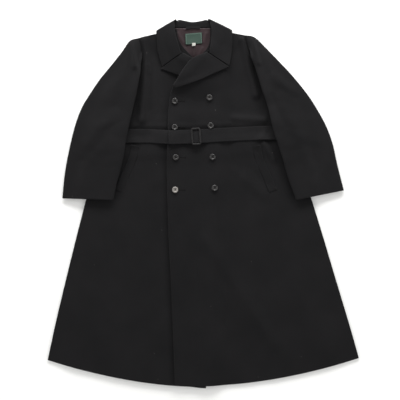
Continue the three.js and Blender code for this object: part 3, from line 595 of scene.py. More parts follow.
def cloth_object(name, lower, upper, ring=False):
    """A closed wall of cloth between two grids that meet at their edges, or round a sleeve."""
    rows, columns = lower.shape[:2]
    edge = np.zeros((rows, columns), bool)
    edge[[0, -1]] = True
    if not ring:
        edge[:, [0, -1]] = True
    under = np.arange(rows * columns).reshape(rows, columns)
    over = under.copy()
    over[~edge] = rows * columns + np.arange((~edge).sum())
    lower = np.where(edge[..., None], (lower + upper) / 2, lower)
    points = np.vstack([lower.reshape(-1, 3), upper[~edge]])
    faces = []
    for sheet, turn in ((over, 1), (under, -1)):
        if ring:
            sheet = np.concatenate([sheet, sheet[:, :1]], axis=1)
        corners = [sheet[:-1, :-1], sheet[:-1, 1:], sheet[1:, 1:], sheet[1:, :-1]]
        faces.append(np.stack([corner.ravel() for corner in corners], axis=1)[:, ::turn])
    return mesh_object(name, points, np.vstack(faces).tolist())


def tube(line, radius, sides=6, closed=False):
    """Points and faces of a thin round tube along a line."""
    line = np.asarray(line, float)
    if closed:
        ahead = np.roll(line, -1, axis=0) - np.roll(line, 1, axis=0)
    else:
        ahead = np.gradient(line, axis=0)
    ahead /= np.linalg.norm(ahead, axis=1, keepdims=True)
    side = np.cross(ahead, (0, 0, 1))
    size = np.linalg.norm(side, axis=1, keepdims=True)
    side = np.where(size > 0.05, side / np.maximum(size, 0.05), (1, 0, 0))
    up = np.cross(side, ahead)
    angles = np.linspace(0, 2 * math.pi, sides, endpoint=False)
    ring = side[:, None] * np.cos(angles)[:, None] + up[:, None] * np.sin(angles)[:, None]
    points = (line[:, None] + ring * radius).reshape(-1, 3)
    count = len(line)
    faces = []
    for step in range(count if closed else count - 1):
        here = step * sides
        there = (step + 1) % count * sides
        for corner in range(sides):
            beside = (corner + 1) % sides
            faces.append([here + corner, here + beside, there + beside, there + corner])
    if not closed:
        faces.append(list(range(sides))[::-1])
        faces.append([(count - 1) * sides + corner for corner in range(sides)])
    return points, faces


def joined(parts):
    """Points and faces of several meshes as one."""
    points = []
    faces = []
    start = 0
    for part_points, part_faces in parts:
        points.append(part_points)
        faces += [[corner + start for corner in face] for face in part_faces]
        start += len(part_points)
    return np.vstack(points), faces


def spaced_along(line, pitch):
    """Points along a line, a pitch apart."""
    steps = np.linalg.norm(np.diff(line, axis=0), axis=1)
    reach = np.concatenate([[0], np.cumsum(steps)])
    at = np.linspace(0, reach[-1], int(reach[-1] // pitch) + 1)
    return np.stack([np.interp(at, reach, line[:, axis]) for axis in range(3)], axis=1)


STITCH_PITCH = 3.4
STITCH_LENGTH = 2.6
THREAD = 0.7


def stitches(line, pitch=STITCH_PITCH, length=STITCH_LENGTH):
    """Points and faces of a row of stitches lying in a line on the cloth."""
    at = spaced_along(line, pitch)
    ahead = np.gradient(at, axis=0)
    ahead /= np.linalg.norm(ahead, axis=1, keepdims=True)
    side = np.cross(ahead, (0, 0, 1))
    up = np.cross(side, ahead)
    reaches = [ahead * length / 2, side * THREAD / 2, -ahead * length / 2, -side * THREAD / 2]
    reaches += [up * THREAD / 2, -up * THREAD / 2]
    points = np.stack([at + reach for reach in reaches], axis=1).reshape(-1, 3)
    faces = []
    for start in range(0, len(points), 6):
        for corner in range(4):
            beside = (corner + 1) % 4
            faces.append([start + corner, start + beside, start + 4])
            faces.append([start + beside, start + corner, start + 5])
    return points, faces


def linear(colour):
    """An sRGB hex colour as the linear one that shaders take."""
    parts = [int(colour[start:start + 2], 16) / 255 for start in (1, 3, 5)]
    return (*[part / 12.92 if part <= 0.04045 else ((part + 0.055) / 1.055) ** 2.4 for part in parts], 1)


def add_node(material, kind, inputs=(), **settings):
    """Adds a node with its settings, sets or links its inputs, and gives its outputs."""
    made = material.node_tree.nodes.new(kind)
    for name, value in settings.items():
        setattr(made, name, value)
    for name, value in dict(inputs).items():
        if isinstance(value, bpy.types.NodeSocket):
            material.node_tree.links.new(value, made.inputs[name])
        else:
            made.inputs[name].default_value = value
    return made.outputs


def new_finish(name):
    material = bpy.data.materials.new(name)
    material.use_nodes = True
    material.node_tree.nodes.clear()
    return material


def finished(material, inputs):
    shader = add_node(material, "ShaderNodeBsdfPrincipled", inputs)
    add_node(material, "ShaderNodeOutputMaterial", {"Surface": shader["BSDF"]})
    return material


# A wave texture of scale 1 repeats every this many metres
WAVE_REPEAT = 2 * math.pi / 20
TWILL_LEAN = math.radians(63)
TWILL_PITCH = 0.0018
NAP = 0.0014
PATCH = 0.11
LINT_SPACING = 0.26
LINT_SIZE = 0.0009


def black_wool_twill(name, colour, light_colour, grain=0):
    """Heavy black wool coating, woven in a steep twill and lightly milled: matt, with a short
    nap that lifts the black at a low angle. The twill ribs are 0.9 mm apart on the real cloth and
    are drawn 1.8 mm apart, so that they show close up."""
    material = new_finish(name)
    place = add_node(material, "ShaderNodeTexCoord")["Object"]
    leaned = add_node(
        material, "ShaderNodeMapping", {"Vector": place, "Rotation": (0, 0, grain + TWILL_LEAN)}
    )
    ribs = add_node(
        material,
        "ShaderNodeTexWave",
        {"Vector": leaned["Vector"], "Scale": WAVE_REPEAT / TWILL_PITCH, "Distortion": 1.2, "Detail": 2},
    )["Fac"]
    nap = add_node(material, "ShaderNodeTexNoise", {"Vector": place, "Scale": 1 / NAP, "Detail": 3})["Fac"]
    # Soft paler patches, about a hand wide, mixed into the colour together with the fine nap speckle
    patches = add_node(
        material, "ShaderNodeTexNoise", {"Vector": place, "Scale": 1 / PATCH, "Detail": 3}
    )["Fac"]
    fleck = add_node(material, "ShaderNodeMath", {0: nap, 1: patches}, operation="MULTIPLY")
    blend = add_node(
        material, "ShaderNodeMapRange", {"Value": fleck["Value"], "From Min": 0.02, "From Max": 0.56}
    )["Result"]
    cloth_colour = add_node(
        material,
        "ShaderNodeMix",
        {"Factor": blend, "A": linear(colour), "B": linear(light_colour)},
        data_type="RGBA",
    )["Result"]
    # Now and then a speck of pale lint, just under a millimetre across
    spots = add_node(
        material,
        "ShaderNodeTexVoronoi",
        {"Vector": place, "Scale": 1 / LINT_SPACING},
        voronoi_dimensions="2D",
    )["Distance"]
    speck = add_node(
        material, "ShaderNodeMath", {0: spots, 1: LINT_SIZE / LINT_SPACING}, operation="LESS_THAN"
    )["Value"]
    specked = add_node(
        material,
        "ShaderNodeMix",
        {"Factor": speck, "A": cloth_colour, "B": linear("#5c5957")},
        data_type="RGBA",
    )["Result"]
    height = add_node(material, "ShaderNodeMath", {0: ribs, 1: nap}, operation="ADD")["Value"]
    bump = add_node(
        material, "ShaderNodeBump", {"Height": height, "Strength": 0.5, "Distance": 0.0003}
    )["Normal"]
    return finished(material, {
        "Base Color": specked,
        "Normal": bump,
        "Roughness": 0.88,
        "IOR": 1.45,
        "Specular IOR Level": 0.1,
        "Sheen Weight": 0.035,
        "Sheen Roughness": 0.5,
    })


SATIN_THREAD = 0.0011
SATIN_RIPPLE = 0.018


def plum_satin_lining():
    """Plum lining woven in satin: smooth, with a soft shine that breaks over small ripples, partly painted
    into its colour as a paler tone on the ripple crests. Its threads are 0.2 mm apart and are drawn 1.1 mm
    apart, so that they show close up."""
    material = new_finish("plum_satin_lining")
    place = add_node(material, "ShaderNodeTexCoord")["Object"]
    threads = add_node(
        material,
        "ShaderNodeTexWave",
        {"Vector": place, "Scale": WAVE_REPEAT / SATIN_THREAD, "Distortion": 0.8},
    )["Fac"]
    stretched = add_node(material, "ShaderNodeMapping", {"Vector": place, "Scale": (1, 0.4, 1)})["Vector"]
    ripples = add_node(
        material, "ShaderNodeTexNoise", {"Vector": stretched, "Scale": 1 / SATIN_RIPPLE, "Detail": 2}
    )["Fac"]
    # The colour follows the ripple height, paler on the crests: a painted sheen on top of the real shine
    colour = add_node(
        material,
        "ShaderNodeMix",
        {"Factor": ripples, "A": linear("#1d1315"), "B": linear("#322427")},
        data_type="RGBA",
    )["Result"]
    fine = add_node(
        material, "ShaderNodeBump", {"Height": threads, "Strength": 0.25, "Distance": 0.0001}
    )["Normal"]
    bump = add_node(
        material, "ShaderNodeBump", {"Height": ripples, "Strength": 0.5, "Distance": 0.0016, "Normal": fine}
    )["Normal"]
    return finished(material, {
        "Base Color": colour,
        "Normal": bump,
        "Roughness": 0.46,
        "IOR": 1.5,
        "Specular IOR Level": 0.3,
        "Sheen Weight": 0.08,
        "Sheen Roughness": 0.35,
    })


# Middle, half width, half height and slope of the label, in metres and radians
LABEL_MIDDLE = (-0.0308, 0.5316, 0)
LABEL_HALF = (0.0268, 0.0178, 1)
LABEL_SLOPE = math.radians(4.5)
LABEL_THREAD = 0.0009


LABEL_LINE_ACROSS = 0.914
LABEL_LINE_ALONG = 0.87
LABEL_LINE_WIDTH = 0.022


def green_woven_label():
    """Dark green label woven on a narrow loom: fine ribs across it and a paler line of pattern
    thread round its bare middle."""
    material = new_finish("green_woven_label")
    place = add_node(material, "ShaderNodeTexCoord")["Object"]
    on_label = add_node(
        material,
        "ShaderNodeMapping",
        {"Vector": place, "Location": LABEL_MIDDLE, "Rotation": (0, 0, LABEL_SLOPE), "Scale": LABEL_HALF},
        vector_type="TEXTURE",
    )["Vector"]
    across = add_node(material, "ShaderNodeVectorMath", {0: on_label}, operation="ABSOLUTE")["Vector"]
    parts = add_node(material, "ShaderNodeSeparateXYZ", {"Vector": across})
    # The line runs 2.3 mm in from the edges, which is a different share of the width and height
    rim_x = add_node(
        material, "ShaderNodeMath", {0: parts["X"], 1: 1 / LABEL_LINE_ACROSS}, operation="MULTIPLY"
    )["Value"]
    rim_y = add_node(
        material, "ShaderNodeMath", {0: parts["Y"], 1: 1 / LABEL_LINE_ALONG}, operation="MULTIPLY"
    )["Value"]
    rim = add_node(material, "ShaderNodeMath", {0: rim_x, 1: rim_y}, operation="MAXIMUM")["Value"]
    line = add_node(
        material, "ShaderNodeMath", {0: rim, 1: 1.0, 2: LABEL_LINE_WIDTH}, operation="COMPARE"
    )["Value"]
    ribs = add_node(
        material,
        "ShaderNodeTexWave",
        {"Vector": place, "Scale": WAVE_REPEAT / LABEL_THREAD, "Distortion": 0.4},
        bands_direction="Y",
    )["Fac"]
    ground = add_node(
        material,
        "ShaderNodeMix",
        {"Factor": ribs, "A": linear("#21322a"), "B": linear("#34483f")},
        data_type="RGBA",
    )["Result"]
    colour = add_node(
        material,
        "ShaderNodeMix",
        {"Factor": line, "A": ground, "B": linear("#4e665b")},
        data_type="RGBA",
    )["Result"]
    bump = add_node(
        material, "ShaderNodeBump", {"Height": ribs, "Strength": 0.4, "Distance": 0.0002}
    )["Normal"]
    return finished(material, {
        "Base Color": colour,
        "Normal": bump,
        "Roughness": 0.62,
        "IOR": 1.5,
        "Specular IOR Level": 0.3,
    })


def white_cotton_tape():
    """White cotton tape, plain woven: matt, with a fine rib. It is left bare."""
    material = new_finish("white_cotton_tape")
    place = add_node(material, "ShaderNodeTexCoord")["Object"]
    ribs = add_node(
        material,
        "ShaderNodeTexWave",
        {"Vector": place, "Scale": WAVE_REPEAT / LABEL_THREAD},
        bands_direction="Y",
    )["Fac"]
    colour = add_node(
        material,
        "ShaderNodeMix",
        {"Factor": ribs, "A": linear("#a3a29c"), "B": linear("#c0bfb9")},
        data_type="RGBA",
    )["Result"]
    bump = add_node(
        material, "ShaderNodeBump", {"Height": ribs, "Strength": 0.3, "Distance": 0.0002}
    )["Normal"]
    return finished(
        material, {"Base Color": colour, "Normal": bump, "Roughness": 0.8, "Specular IOR Level": 0.2}
    )


HORN_STREAK = 0.004


def polished_horn(name, colour, streak_colour, roughness, gloss=0.5):
    """Real horn, sawn, turned and polished: a clear gloss over soft streaks a few millimetres wide."""
    material = new_finish(name)
    place = add_node(material, "ShaderNodeTexCoord")["Object"]
    drawn_out = add_node(material, "ShaderNodeMapping", {"Vector": place, "Scale": (1, 0.35, 1)})["Vector"]
    streaks = add_node(
        material,
        "ShaderNodeTexNoise",
        {"Vector": drawn_out, "Scale": 1 / HORN_STREAK, "Detail": 4, "Distortion": 1.5},
    )["Fac"]
    share = add_node(
        material, "ShaderNodeMapRange", {"Value": streaks, "From Min": 0.35, "From Max": 0.7}
    )["Result"]
    mixed = add_node(
        material,
        "ShaderNodeMix",
        {"Factor": share, "A": linear(colour), "B": linear(streak_colour)},
        data_type="RGBA",
    )["Result"]
    bump = add_node(
        material, "ShaderNodeBump", {"Height": streaks, "Strength": 0.15, "Distance": 0.0002}
    )["Normal"]
    return finished(material, {
        "Base Color": mixed,
        "Normal": bump,
        "Roughness": roughness,
        "IOR": 1.55,
        "Specular IOR Level": gloss,
    })


THREAD_TWIST = 0.0006


def twisted_thread(name, colour, ply_painted_sheen_colour):
    """Waxed sewing thread: two plies twisted, with a slight shine along them, partly painted into its colour
    as a paler band on each ply.
    """
    material = new_finish(name)
    place = add_node(material, "ShaderNodeTexCoord")["Object"]
    plies = add_node(
        material,
        "ShaderNodeTexWave",
        {"Vector": place, "Scale": WAVE_REPEAT / THREAD_TWIST, "Distortion": 1},
        bands_direction="DIAGONAL",
    )["Fac"]
    # Paler on each ply's crest, by the same wave as the bump: a painted sheen
    shade = add_node(
        material,
        "ShaderNodeMix",
        {"Factor": plies, "A": linear(colour), "B": linear(ply_painted_sheen_colour)},
        data_type="RGBA",
    )["Result"]
    bump = add_node(
        material, "ShaderNodeBump", {"Height": plies, "Strength": 0.3, "Distance": 0.0001}
    )["Normal"]
    return finished(
        material, {"Base Color": shade, "Normal": bump, "Roughness": 0.8, "Specular IOR Level": 0.15}
    )


def matt_white_paper():
    """A roll of matt white paper under the coat, with barely a tooth."""
    material = new_finish("matt_white_paper")
    place = add_node(material, "ShaderNodeTexCoord")["Object"]
    tooth = add_node(material, "ShaderNodeTexNoise", {"Vector": place, "Scale": 900, "Detail": 2})["Fac"]
    bump = add_node(
        material, "ShaderNodeBump", {"Height": tooth, "Strength": 0.1, "Distance": 0.0001}
    )["Normal"]
    return finished(material, {
        "Base Color": linear("#f7f7f5"),
        "Normal": bump,
        "Roughness": 0.95,
        "Specular IOR Level": 0.1,
    })


SLEEVE_GRAIN = math.radians(18)
body_cloth = black_wool_twill("black_wool_twill", "#111112", "#1c1b1c")
right_sleeve_cloth = black_wool_twill("black_wool_twill_right_sleeve", "#111112", "#1c1b1c", SLEEVE_GRAIN)
left_sleeve_cloth = black_wool_twill("black_wool_twill_left_sleeve", "#111112", "#1c1b1c", -SLEEVE_GRAIN)
belt_cloth = black_wool_twill("black_wool_twill_belt", "#151516", "#232223", math.pi / 2)
lining_cloth = plum_satin_lining()
label_cloth = green_woven_label()
tag_cloth = white_cotton_tape()
dark_horn = polished_horn("dark_polished_horn", "#161515", "#252221", 0.36)
# Pale horn for one button: its colour is a painted reflection of the lamp in a dark button's rim
painted_glint_horn = polished_horn("polished_horn_painted_glint", "#6d6965", "#9d9892", 0.4)
buckle_horn = polished_horn("dark_buckle_horn", "#0d0c0c", "#181616", 0.5, 0.28)
black_thread = twisted_thread("black_waxed_thread", "#0b0b0b", "#171616")
green_thread = twisted_thread("green_waxed_thread", "#1c2a25", "#2c3d36")


def add_piece(piece, nodes, finish):
    """Gives a piece its finish and its place in the model."""
    piece.data.materials.append(finish)
    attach(piece, "root")
    if nodes:
        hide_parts(*nodes)
    return piece


cloth_pieces = []


def add_cloth(name, lower, upper, finish, slot="cloth", rests_on=(), ring=False, trims=()):
    """A laid cloth piece that stands for the node that it is named after."""
    piece = add_piece(cloth_object(f"{name}_cloth", lower, upper, ring), [name], finish)
    width, length, area = cut_of((lower + upper) / 2, ring)
    facts = {"flat": (width, length), "area": area, "rests_on": rests_on}
    cloth_pieces.append({"piece": piece, "facts": facts, "trims": list(trims)})


def add_trim(name, parts, finish, on=None):
    """Small work on a piece, such as its stitches, from points and faces."""
    trim = add_piece(mesh_object(name, *joined(parts)), [], finish)
    if on:
        next(cloth for cloth in cloth_pieces if cloth["piece"].name == f"{on}_cloth")["trims"].append(trim)
    return trim


def edge_lines(surface):
    """The line of stitches beside each edge of a cloth's upper side."""
    rows = surface[STITCH_LINE:-STITCH_LINE]
    columns = surface[:, STITCH_LINE:-STITCH_LINE]
    return {
        "start": columns[STITCH_LINE],
        "end": columns[-1 - STITCH_LINE],
        "outer": rows[:, STITCH_LINE],
        "inner": rows[:, -1 - STITCH_LINE],
    }


def add_wall(name, lower, upper, finish, stitched=(), drawn_in=1, **facts):
    """A cloth piece between its two sides, drawn in at its edges and along its rows of stitches."""
    full = (fullness(lower, stitched) * drawn_in)[..., None]
    middle = (lower + upper) / 2
    half = (upper - lower) / 2
    add_cloth(name, middle - half * full, middle + half * full, finish, **facts)
    lines = edge_lines(middle + half * full)
    if stitched:
        sewing = [stitches(lines[side]) for side in stitched]
        add_trim(f"{name}_stitches", sewing, black_thread, name)


def add_panel(name, lower, thickness, finish, stitched=(), drawn_in=1, **facts):
    """A panel of cloth on the pile, from its lower side."""
    upper = raised(lower, thickness)
    add_wall(name, lower, upper, finish, stitched, drawn_in, **facts)
    lay(upper)


# How far, and over what run, a cloth turns down beside the line that it rolls over
ROLL_DEPTH = 2.4
ROLL_RUN = 4


def rolled(lower, from_roll, room=None):
    """Turns a sheet down beside the line that it rolls over."""
    near = np.clip(1 - from_roll / ROLL_RUN, 0, 1)
    drop = ROLL_DEPTH * (1 - np.sqrt(1 - near ** 2))
    if room is not None:
        drop = np.minimum(drop, np.maximum(room, 0))
    return raised(lower, -drop)


def room_under(lower, heap):
    """Height free between a laid sheet and the heap below it, less half a gap."""
    return lower[..., 2] - read_field(widened(heap, CELL), lower) - GAP / 2


def plan_between(stations, shares, columns):
    """Flat grid between two lines of stations, at set shares along and across."""
    levels = np.asarray(stations, float)
    outer = curve_through(levels[:, :2], shares)
    inner = curve_through(levels[:, 2:], shares)
    flat = outer[:, None] + (inner - outer)[:, None] * columns[..., None]
    return np.concatenate([flat, np.zeros_like(flat[..., :1])], axis=2)


COLLAR_WIDTH = 75
COLLAR_LEAF_LENGTH = 125
COLLAR_COLUMNS = edge_shares(COLLAR_WIDTH, 12)
COLLAR_BACK_ROWS = 44
COLLAR_TURN_STEPS = 10
LEAF_INSETS = EDGE_INSETS / COLLAR_LEAF_LENGTH
LEAF_SHARES = np.concatenate([LEAF_INSETS[:-1], np.linspace(LEAF_INSETS[-1], 1, 26)])
collar_back = raised(plan_between(COLLAR_BACK, np.linspace(0, 1, COLLAR_BACK_ROWS), COLLAR_COLUMNS), CLOTH)
lay(collar_back)

SIDE_SLOPE = 0.28
SIDE_RUN = 80
BELT_COLUMNS = edge_shares(BELT_WIDTH, 4)
BELT_STEP = 6
belt_right_x = BELT_FRONT[0][0]
belt_left_x = BELT_FRONT[-1][0]


def belt_rows(xs, middles):
    """Rows of points across the belt, slanted near the sides as the side seams are."""
    near_side = smooth_share(np.abs(xs), belt_left_x - SIDE_RUN, belt_left_x)[:, None]
    across = BELT_WIDTH * (BELT_COLUMNS - 0.5)[None]
    x = xs[:, None] - np.sign(xs)[:, None] * SIDE_SLOPE * near_side * across
    y = middles[:, None] + across
    return np.stack([x, y, np.zeros_like(x)], axis=2)


def belt_middle_y(x):
    return line_height(BELT_FRONT, x)


def belt_back_y(x):
    side_y = belt_middle_y(np.where(x < 0, belt_right_x, belt_left_x))
    return BELT_BACK_Y + (side_y - BELT_BACK_Y) * smooth_share(np.abs(x), 0, belt_left_x)


back_xs = np.linspace(belt_right_x, belt_left_x, 100)
belt_back = belt_rows(back_xs, belt_back_y(back_xs))
lay(raised(belt_back, BELT_THICKNESS))

# Collar stand, measured against the collar before the back is laid, whose neck edge it meets
stand_plan = panel_plan(COLLAR_STAND, 4)
stand = draped(stand_plan)

# Back: one wide panel from shoulder line to hem, with a seam down its middle
BACK_LEVELS = [(*under[:2], *top[:2]) for under, top in zip(UNDER_FRONT, TOP_FRONT)]
BACK_SPACING = 9
HEM_RUN = 0.3
SHOULDER_RUN = 0.04
back_plan = bent_end(panel_plan(BACK_LEVELS, BACK_SPACING, 0.5), 0, HEM_RUN, hem_line)
back_plan = bent_end(back_plan, -1, SHOULDER_RUN, shoulder_line)
back_lower = draped(back_plan)
height = back_lower[..., 2]
back_lower[..., 2] = np.maximum(height - GAP, 0) + GAP * smooth_share(height, GAP, 2)
back_middle = (back_plan[:, :1] + back_plan[:, -1:]) / 2
from_middle = np.linalg.norm(back_plan - back_middle, axis=2)
seam_full = 1 - SEAM_DEPTH * np.exp(-(from_middle / SEAM_WIDTH) ** 2)
add_panel("back", back_lower, CLOTH, body_cloth, (), seam_full, rests_on=["belt_cloth", "collar_cloth"])
from_fold = np.linalg.norm(stand - stand[:, :1], axis=2)
stand_room = stand[..., 2] - CLOTH - GAP / 2
add_panel("collar_stand", rolled(stand, from_fold, stand_room), CLOTH, body_cloth, rests_on=["back_cloth"])

# Inside of the neck
LINING_AIR = 1.4
lining_plan = panel_plan(NECK_LINING, 2.4)
lining = draped(lining_plan, LINING_AIR + fold_height(LINING_FOLDS, lining_plan))
add_panel("lining_back", lining, THIN_CLOTH, lining_cloth, slot="lining", rests_on=["back_cloth"])
on_lining = {"rests_on": ["lining_back_cloth"]}
for name, levels in (("facing_right", RIGHT_FACING), ("facing_left", LEFT_FACING)):
    add_panel(name, draped(panel_plan(levels, 4)), CLOTH / 2, body_cloth, ("inner",), **on_lining)
label = draped(panel_plan(NECK_LABEL, 3))
add_panel("neck_label", label, THIN_CLOTH, label_cloth, slot="label", **on_lining)
add_panel(
    "size_tag",
    draped(panel_plan(SIZE_TAG, 2)),
    THIN_CLOTH / 2,
    tag_cloth,
    slot="tag",
    rests_on=["neck_label_cloth"],
)
add_panel("hanger_loop", draped(panel_plan(HANGER_LOOP, 3)), THIN_CLOTH, body_cloth)
# The loop is too narrow to be a sheet of its own, so it goes with the lining that it is sewn to
loop = cloth_pieces.pop()["piece"]
next(cloth for cloth in cloth_pieces if cloth["piece"].name == "lining_back_cloth")["trims"].append(loop)
# The label is sewn down round its edge
sewn_down = raised(label, THIN_CLOTH)
label_edge = [sewn_down[3, 3:-3], sewn_down[-4, 3:-3], sewn_down[3:-3, 3], sewn_down[3:-3, -4]]
label_sewing = [stitches(line, 2.4, 1.4) for line in label_edge]
add_trim("neck_label_stitches", label_sewing, green_thread, "neck_label")

# Fronts: full in the middle, flat where they meet the back at the sides and armholes
FRONT_SPACING = 7
UNEVENNESS = 0.9
EDGE_LIFT = 3
EDGE_LIFT_RUN = 14


def add_front(name, levels, hem, folds, air, seed, rests_on):
    plan = bent_end(panel_plan(levels, FRONT_SPACING), 0, HEM_RUN, hem)
    from_side = np.linalg.norm(plan - plan[:, :1], axis=2)
    from_edge = np.linalg.norm(plan - plan[:, -1:], axis=2)
    full = (air + UNEVENNESS * (1 + unevenness(plan, seed))) * smooth_share(from_side, 0, FULLNESS_RUN)
    folded = fold_height(folds, plan) * smooth_share(from_side, 0, FOLD_RUN)
    lift = EDGE_LIFT * (1 - smooth_share(from_edge, 0, EDGE_LIFT_RUN))
    lower = draped(plan, np.maximum(0, full + folded) + lift)
    add_panel(name, lower, CLOTH, body_cloth, ("inner",), rests_on=rests_on)


ROLL_OVER = 2.5
FREE_EDGE_RUN = 26


def add_lapel(name, levels, lift, rests_on):
    """A lapel turned back on its front: puffed, lifted at its free edge and rounded where it rolls."""
    levels = np.asarray(levels, float)
    reach = levels[:, 2:] - levels[:, :2]
    levels[:, 2:] += ROLL_OVER * reach / np.linalg.norm(reach, axis=1, keepdims=True)
    plan = panel_plan(levels, 4)
    from_free = np.linalg.norm(plan - plan[:, :1], axis=2)
    from_roll = np.linalg.norm(plan - plan[:, -1:], axis=2)
    across = from_free / from_free[:, -1:]
    along = np.linspace(0, 1, len(plan))[:, None]
    puff = LAPEL_PUFF * np.sin(math.pi * across ** 2) * along
    lifted = lift * np.sin(math.pi * along ** 0.7) * (1 - smooth_share(from_free, 0, FREE_EDGE_RUN))
    lower = rolled(draped(plan, puff + lifted), from_roll)
    add_panel(name, lower, CLOTH, body_cloth, ("outer", "end"), rests_on=rests_on)


add_front(
    "front_right", UNDER_FRONT, under_hem_line, UNDER_FRONT_FOLDS, FRONT_FULLNESS, 3,
    ["back_cloth", "facing_right_cloth"],
)
front_heap = pile.copy()
add_lapel("lapel_right", UNDER_LAPEL, 2, ["front_right_cloth"])
add_front(
    "front_left", TOP_FRONT, hem_line, TOP_FRONT_FOLDS, MID_AIR, 8, ["front_right_cloth", "facing_left_cloth"]
)
# The collar is sewn to the lapels edge to edge, so it lies on the fronts beside them
front_heap[:, PILE_HALF_WIDTH // CELL :] = pile[:, PILE_HALF_WIDTH // CELL :]
add_lapel("lapel_left", TOP_LAPEL, 2.5, ["front_left_cloth"])


# Collar: leaves on the lapels, half circles round the shoulders, and the part under the back
def collar_turn(front_row, middle_row, back_row):
    rows = []
    for angle in np.linspace(0, math.pi, COLLAR_TURN_STEPS + 1)[1:-1]:
        start = front_row if angle < math.pi / 2 else back_row
        radius = (front_row[:, 2] - back_row[:, 2]) / 2
        row = start + (middle_row - start) * math.sin(angle)
        row[:, 2] = back_row[:, 2] + radius * (1 + math.cos(angle))
        rows.append(row)
    return np.array(rows)


def shoulder_fold(station, grow):
    roll = np.array((*station[:2], 0.0))
    edge = np.array((*station[2:], 0.0))
    row = roll + (edge - roll) * COLLAR_COLUMNS[:, None]
    outward = row - COLLAR_CENTRE
    return row + grow * outward / np.linalg.norm(outward, axis=1, keepdims=True)


def collar_leaf(stations, shares, seed):
    plan = plan_between(stations, shares, COLLAR_COLUMNS)
    from_roll = np.linalg.norm(plan - plan[:, :1], axis=2)
    stand_up = np.sin(math.pi * shares)[:, None] * np.exp(-(from_roll / STAND_UP_RUN) ** 2)
    lower = draped(plan, 0.5 * (1 + unevenness(plan, seed)) + STAND_UP * stand_up, heap=front_heap)
    return rolled(lower, from_roll, room_under(lower, front_heap))


COLLAR_CENTRE = (NECK_MIDDLE_X, 530, 0)
# The fall stands up beside the neck, where the stand holds it
STAND_UP = 4.5
STAND_UP_RUN = 22
right_leaf = collar_leaf(COLLAR_RIGHT_LEAF, LEAF_SHARES, 12)
left_leaf = collar_leaf(COLLAR_LEFT_LEAF, 1 - LEAF_SHARES[::-1], 13)


def collar_side(offset):
    """The side of the collar that faces the coat, moved out by a part of the cloth."""
    right = raised(right_leaf, offset)
    left = raised(left_leaf, offset)
    back = raised(collar_back, -offset)
    grow = offset - CLOTH
    right_turn = collar_turn(right[-1], shoulder_fold(COLLAR_RIGHT_FOLD, grow), back[0])
    left_turn = collar_turn(left[0], shoulder_fold(COLLAR_LEFT_FOLD, grow), back[-1])
    return np.concatenate([right, right_turn, back, left_turn[::-1], left])


add_wall(
    "collar", collar_side(0), collar_side(CLOTH), body_cloth, ("inner", "start", "end"),
    rests_on=["lapel_right_cloth", "lapel_left_cloth", "front_right_cloth", "front_left_cloth"],
)
lay(raised(right_leaf, CLOTH))
lay(raised(left_leaf, CLOTH))

# Buttons: a turned disc with a broad rim, a small dish and four holes, sewn on by a shank of thread
BUTTON_DISH = 2.2
BUTTON_PROFILE = [
    (0, 0.2),
    (BUTTON_RADIUS - 2.4, 0),
    (BUTTON_RADIUS - 0.9, 0.35),
    (BUTTON_RADIUS - 0.1, 1.2),
    (BUTTON_RADIUS, 1.9),
    (BUTTON_RADIUS - 0.3, 2.6),
    (BUTTON_RADIUS - 1.1, BUTTON_HEIGHT - 0.2),
    (BUTTON_RADIUS - 2, BUTTON_HEIGHT),
    (BUTTON_RADIUS - 3, BUTTON_HEIGHT - 0.15),
    (BUTTON_RADIUS - 3.8, BUTTON_HEIGHT - 0.7),
    (BUTTON_RADIUS - 4.3, BUTTON_HEIGHT - 1.7),
    (BUTTON_RADIUS - 4.9, BUTTON_HEIGHT - 2.1),
    (0, BUTTON_HEIGHT - BUTTON_DISH),
]
BUTTON_SEGMENTS = 56
HOLE_RADIUS = 0.95
HOLE_OFFSET = 1.9
THREAD_RADIUS = 0.42


def turned(profile, segments):
    """Points and faces of a turned form whose profile starts and ends on the axis."""
    angles = np.linspace(0, 2 * math.pi, segments, endpoint=False)
    points = [(0, 0, profile[0][1]), (0, 0, profile[-1][1])]
    for radius, height in profile[1:-1]:
        points += [(radius * math.cos(angle), radius * math.sin(angle), height) for angle in angles]
    rings = len(profile) - 2
    faces = []
    for corner in range(segments):
        beside = (corner + 1) % segments
        for ring in range(rings - 1):
            low = 2 + ring * segments
            faces.append([low + corner, low + beside, low + segments + beside, low + segments + corner])
        top = 2 + (rings - 1) * segments
        faces.append([0, 2 + beside, 2 + corner])
        faces.append([1, top + corner, top + beside])
    return np.array(points, float), faces


def pierced(body, drills):
    """Points and faces of a body with holes drilled through it."""
    solid = mesh_object("button_blank", *body)
    tool = mesh_object("button_drills", *drills)
    cut = solid.modifiers.new("holes", "BOOLEAN")
    cut.object = tool
    cut.solver = "EXACT"
    shaped = solid.evaluated_get(bpy.context.evaluated_depsgraph_get()).to_mesh()
    points = np.array([vertex.co for vertex in shaped.vertices]) / MM
    faces = [list(face.vertices) for face in shaped.polygons]
    for made in (solid, tool):
        bpy.data.objects.remove(made)
    return points, faces


hole_places = [(side * HOLE_OFFSET, end * HOLE_OFFSET) for side, end in ((-1, -1), (1, -1), (1, 1), (-1, 1))]
drill = [(0, -2), (HOLE_RADIUS, -2), (HOLE_RADIUS, BUTTON_HEIGHT + 2), (0, BUTTON_HEIGHT + 2)]
drills = joined([
    (points + (x, y, 0), faces) for x, y in hole_places for points, faces in (turned(drill, 14),)
])
button_body = pierced(turned(BUTTON_PROFILE, BUTTON_SEGMENTS), drills)
dish = BUTTON_HEIGHT - BUTTON_DISH


def thread_arch(start, end):
    """A strand of thread from hole to hole over the dish."""
    share = np.linspace(0, 1, 9)
    line = np.array(start) + (np.array(end) - np.array(start)) * share[:, None]
    rise = dish - 0.6 + 1.1 * np.sin(math.pi * share) ** 0.5
    return tube(np.column_stack([line, rise]), THREAD_RADIUS, 8)


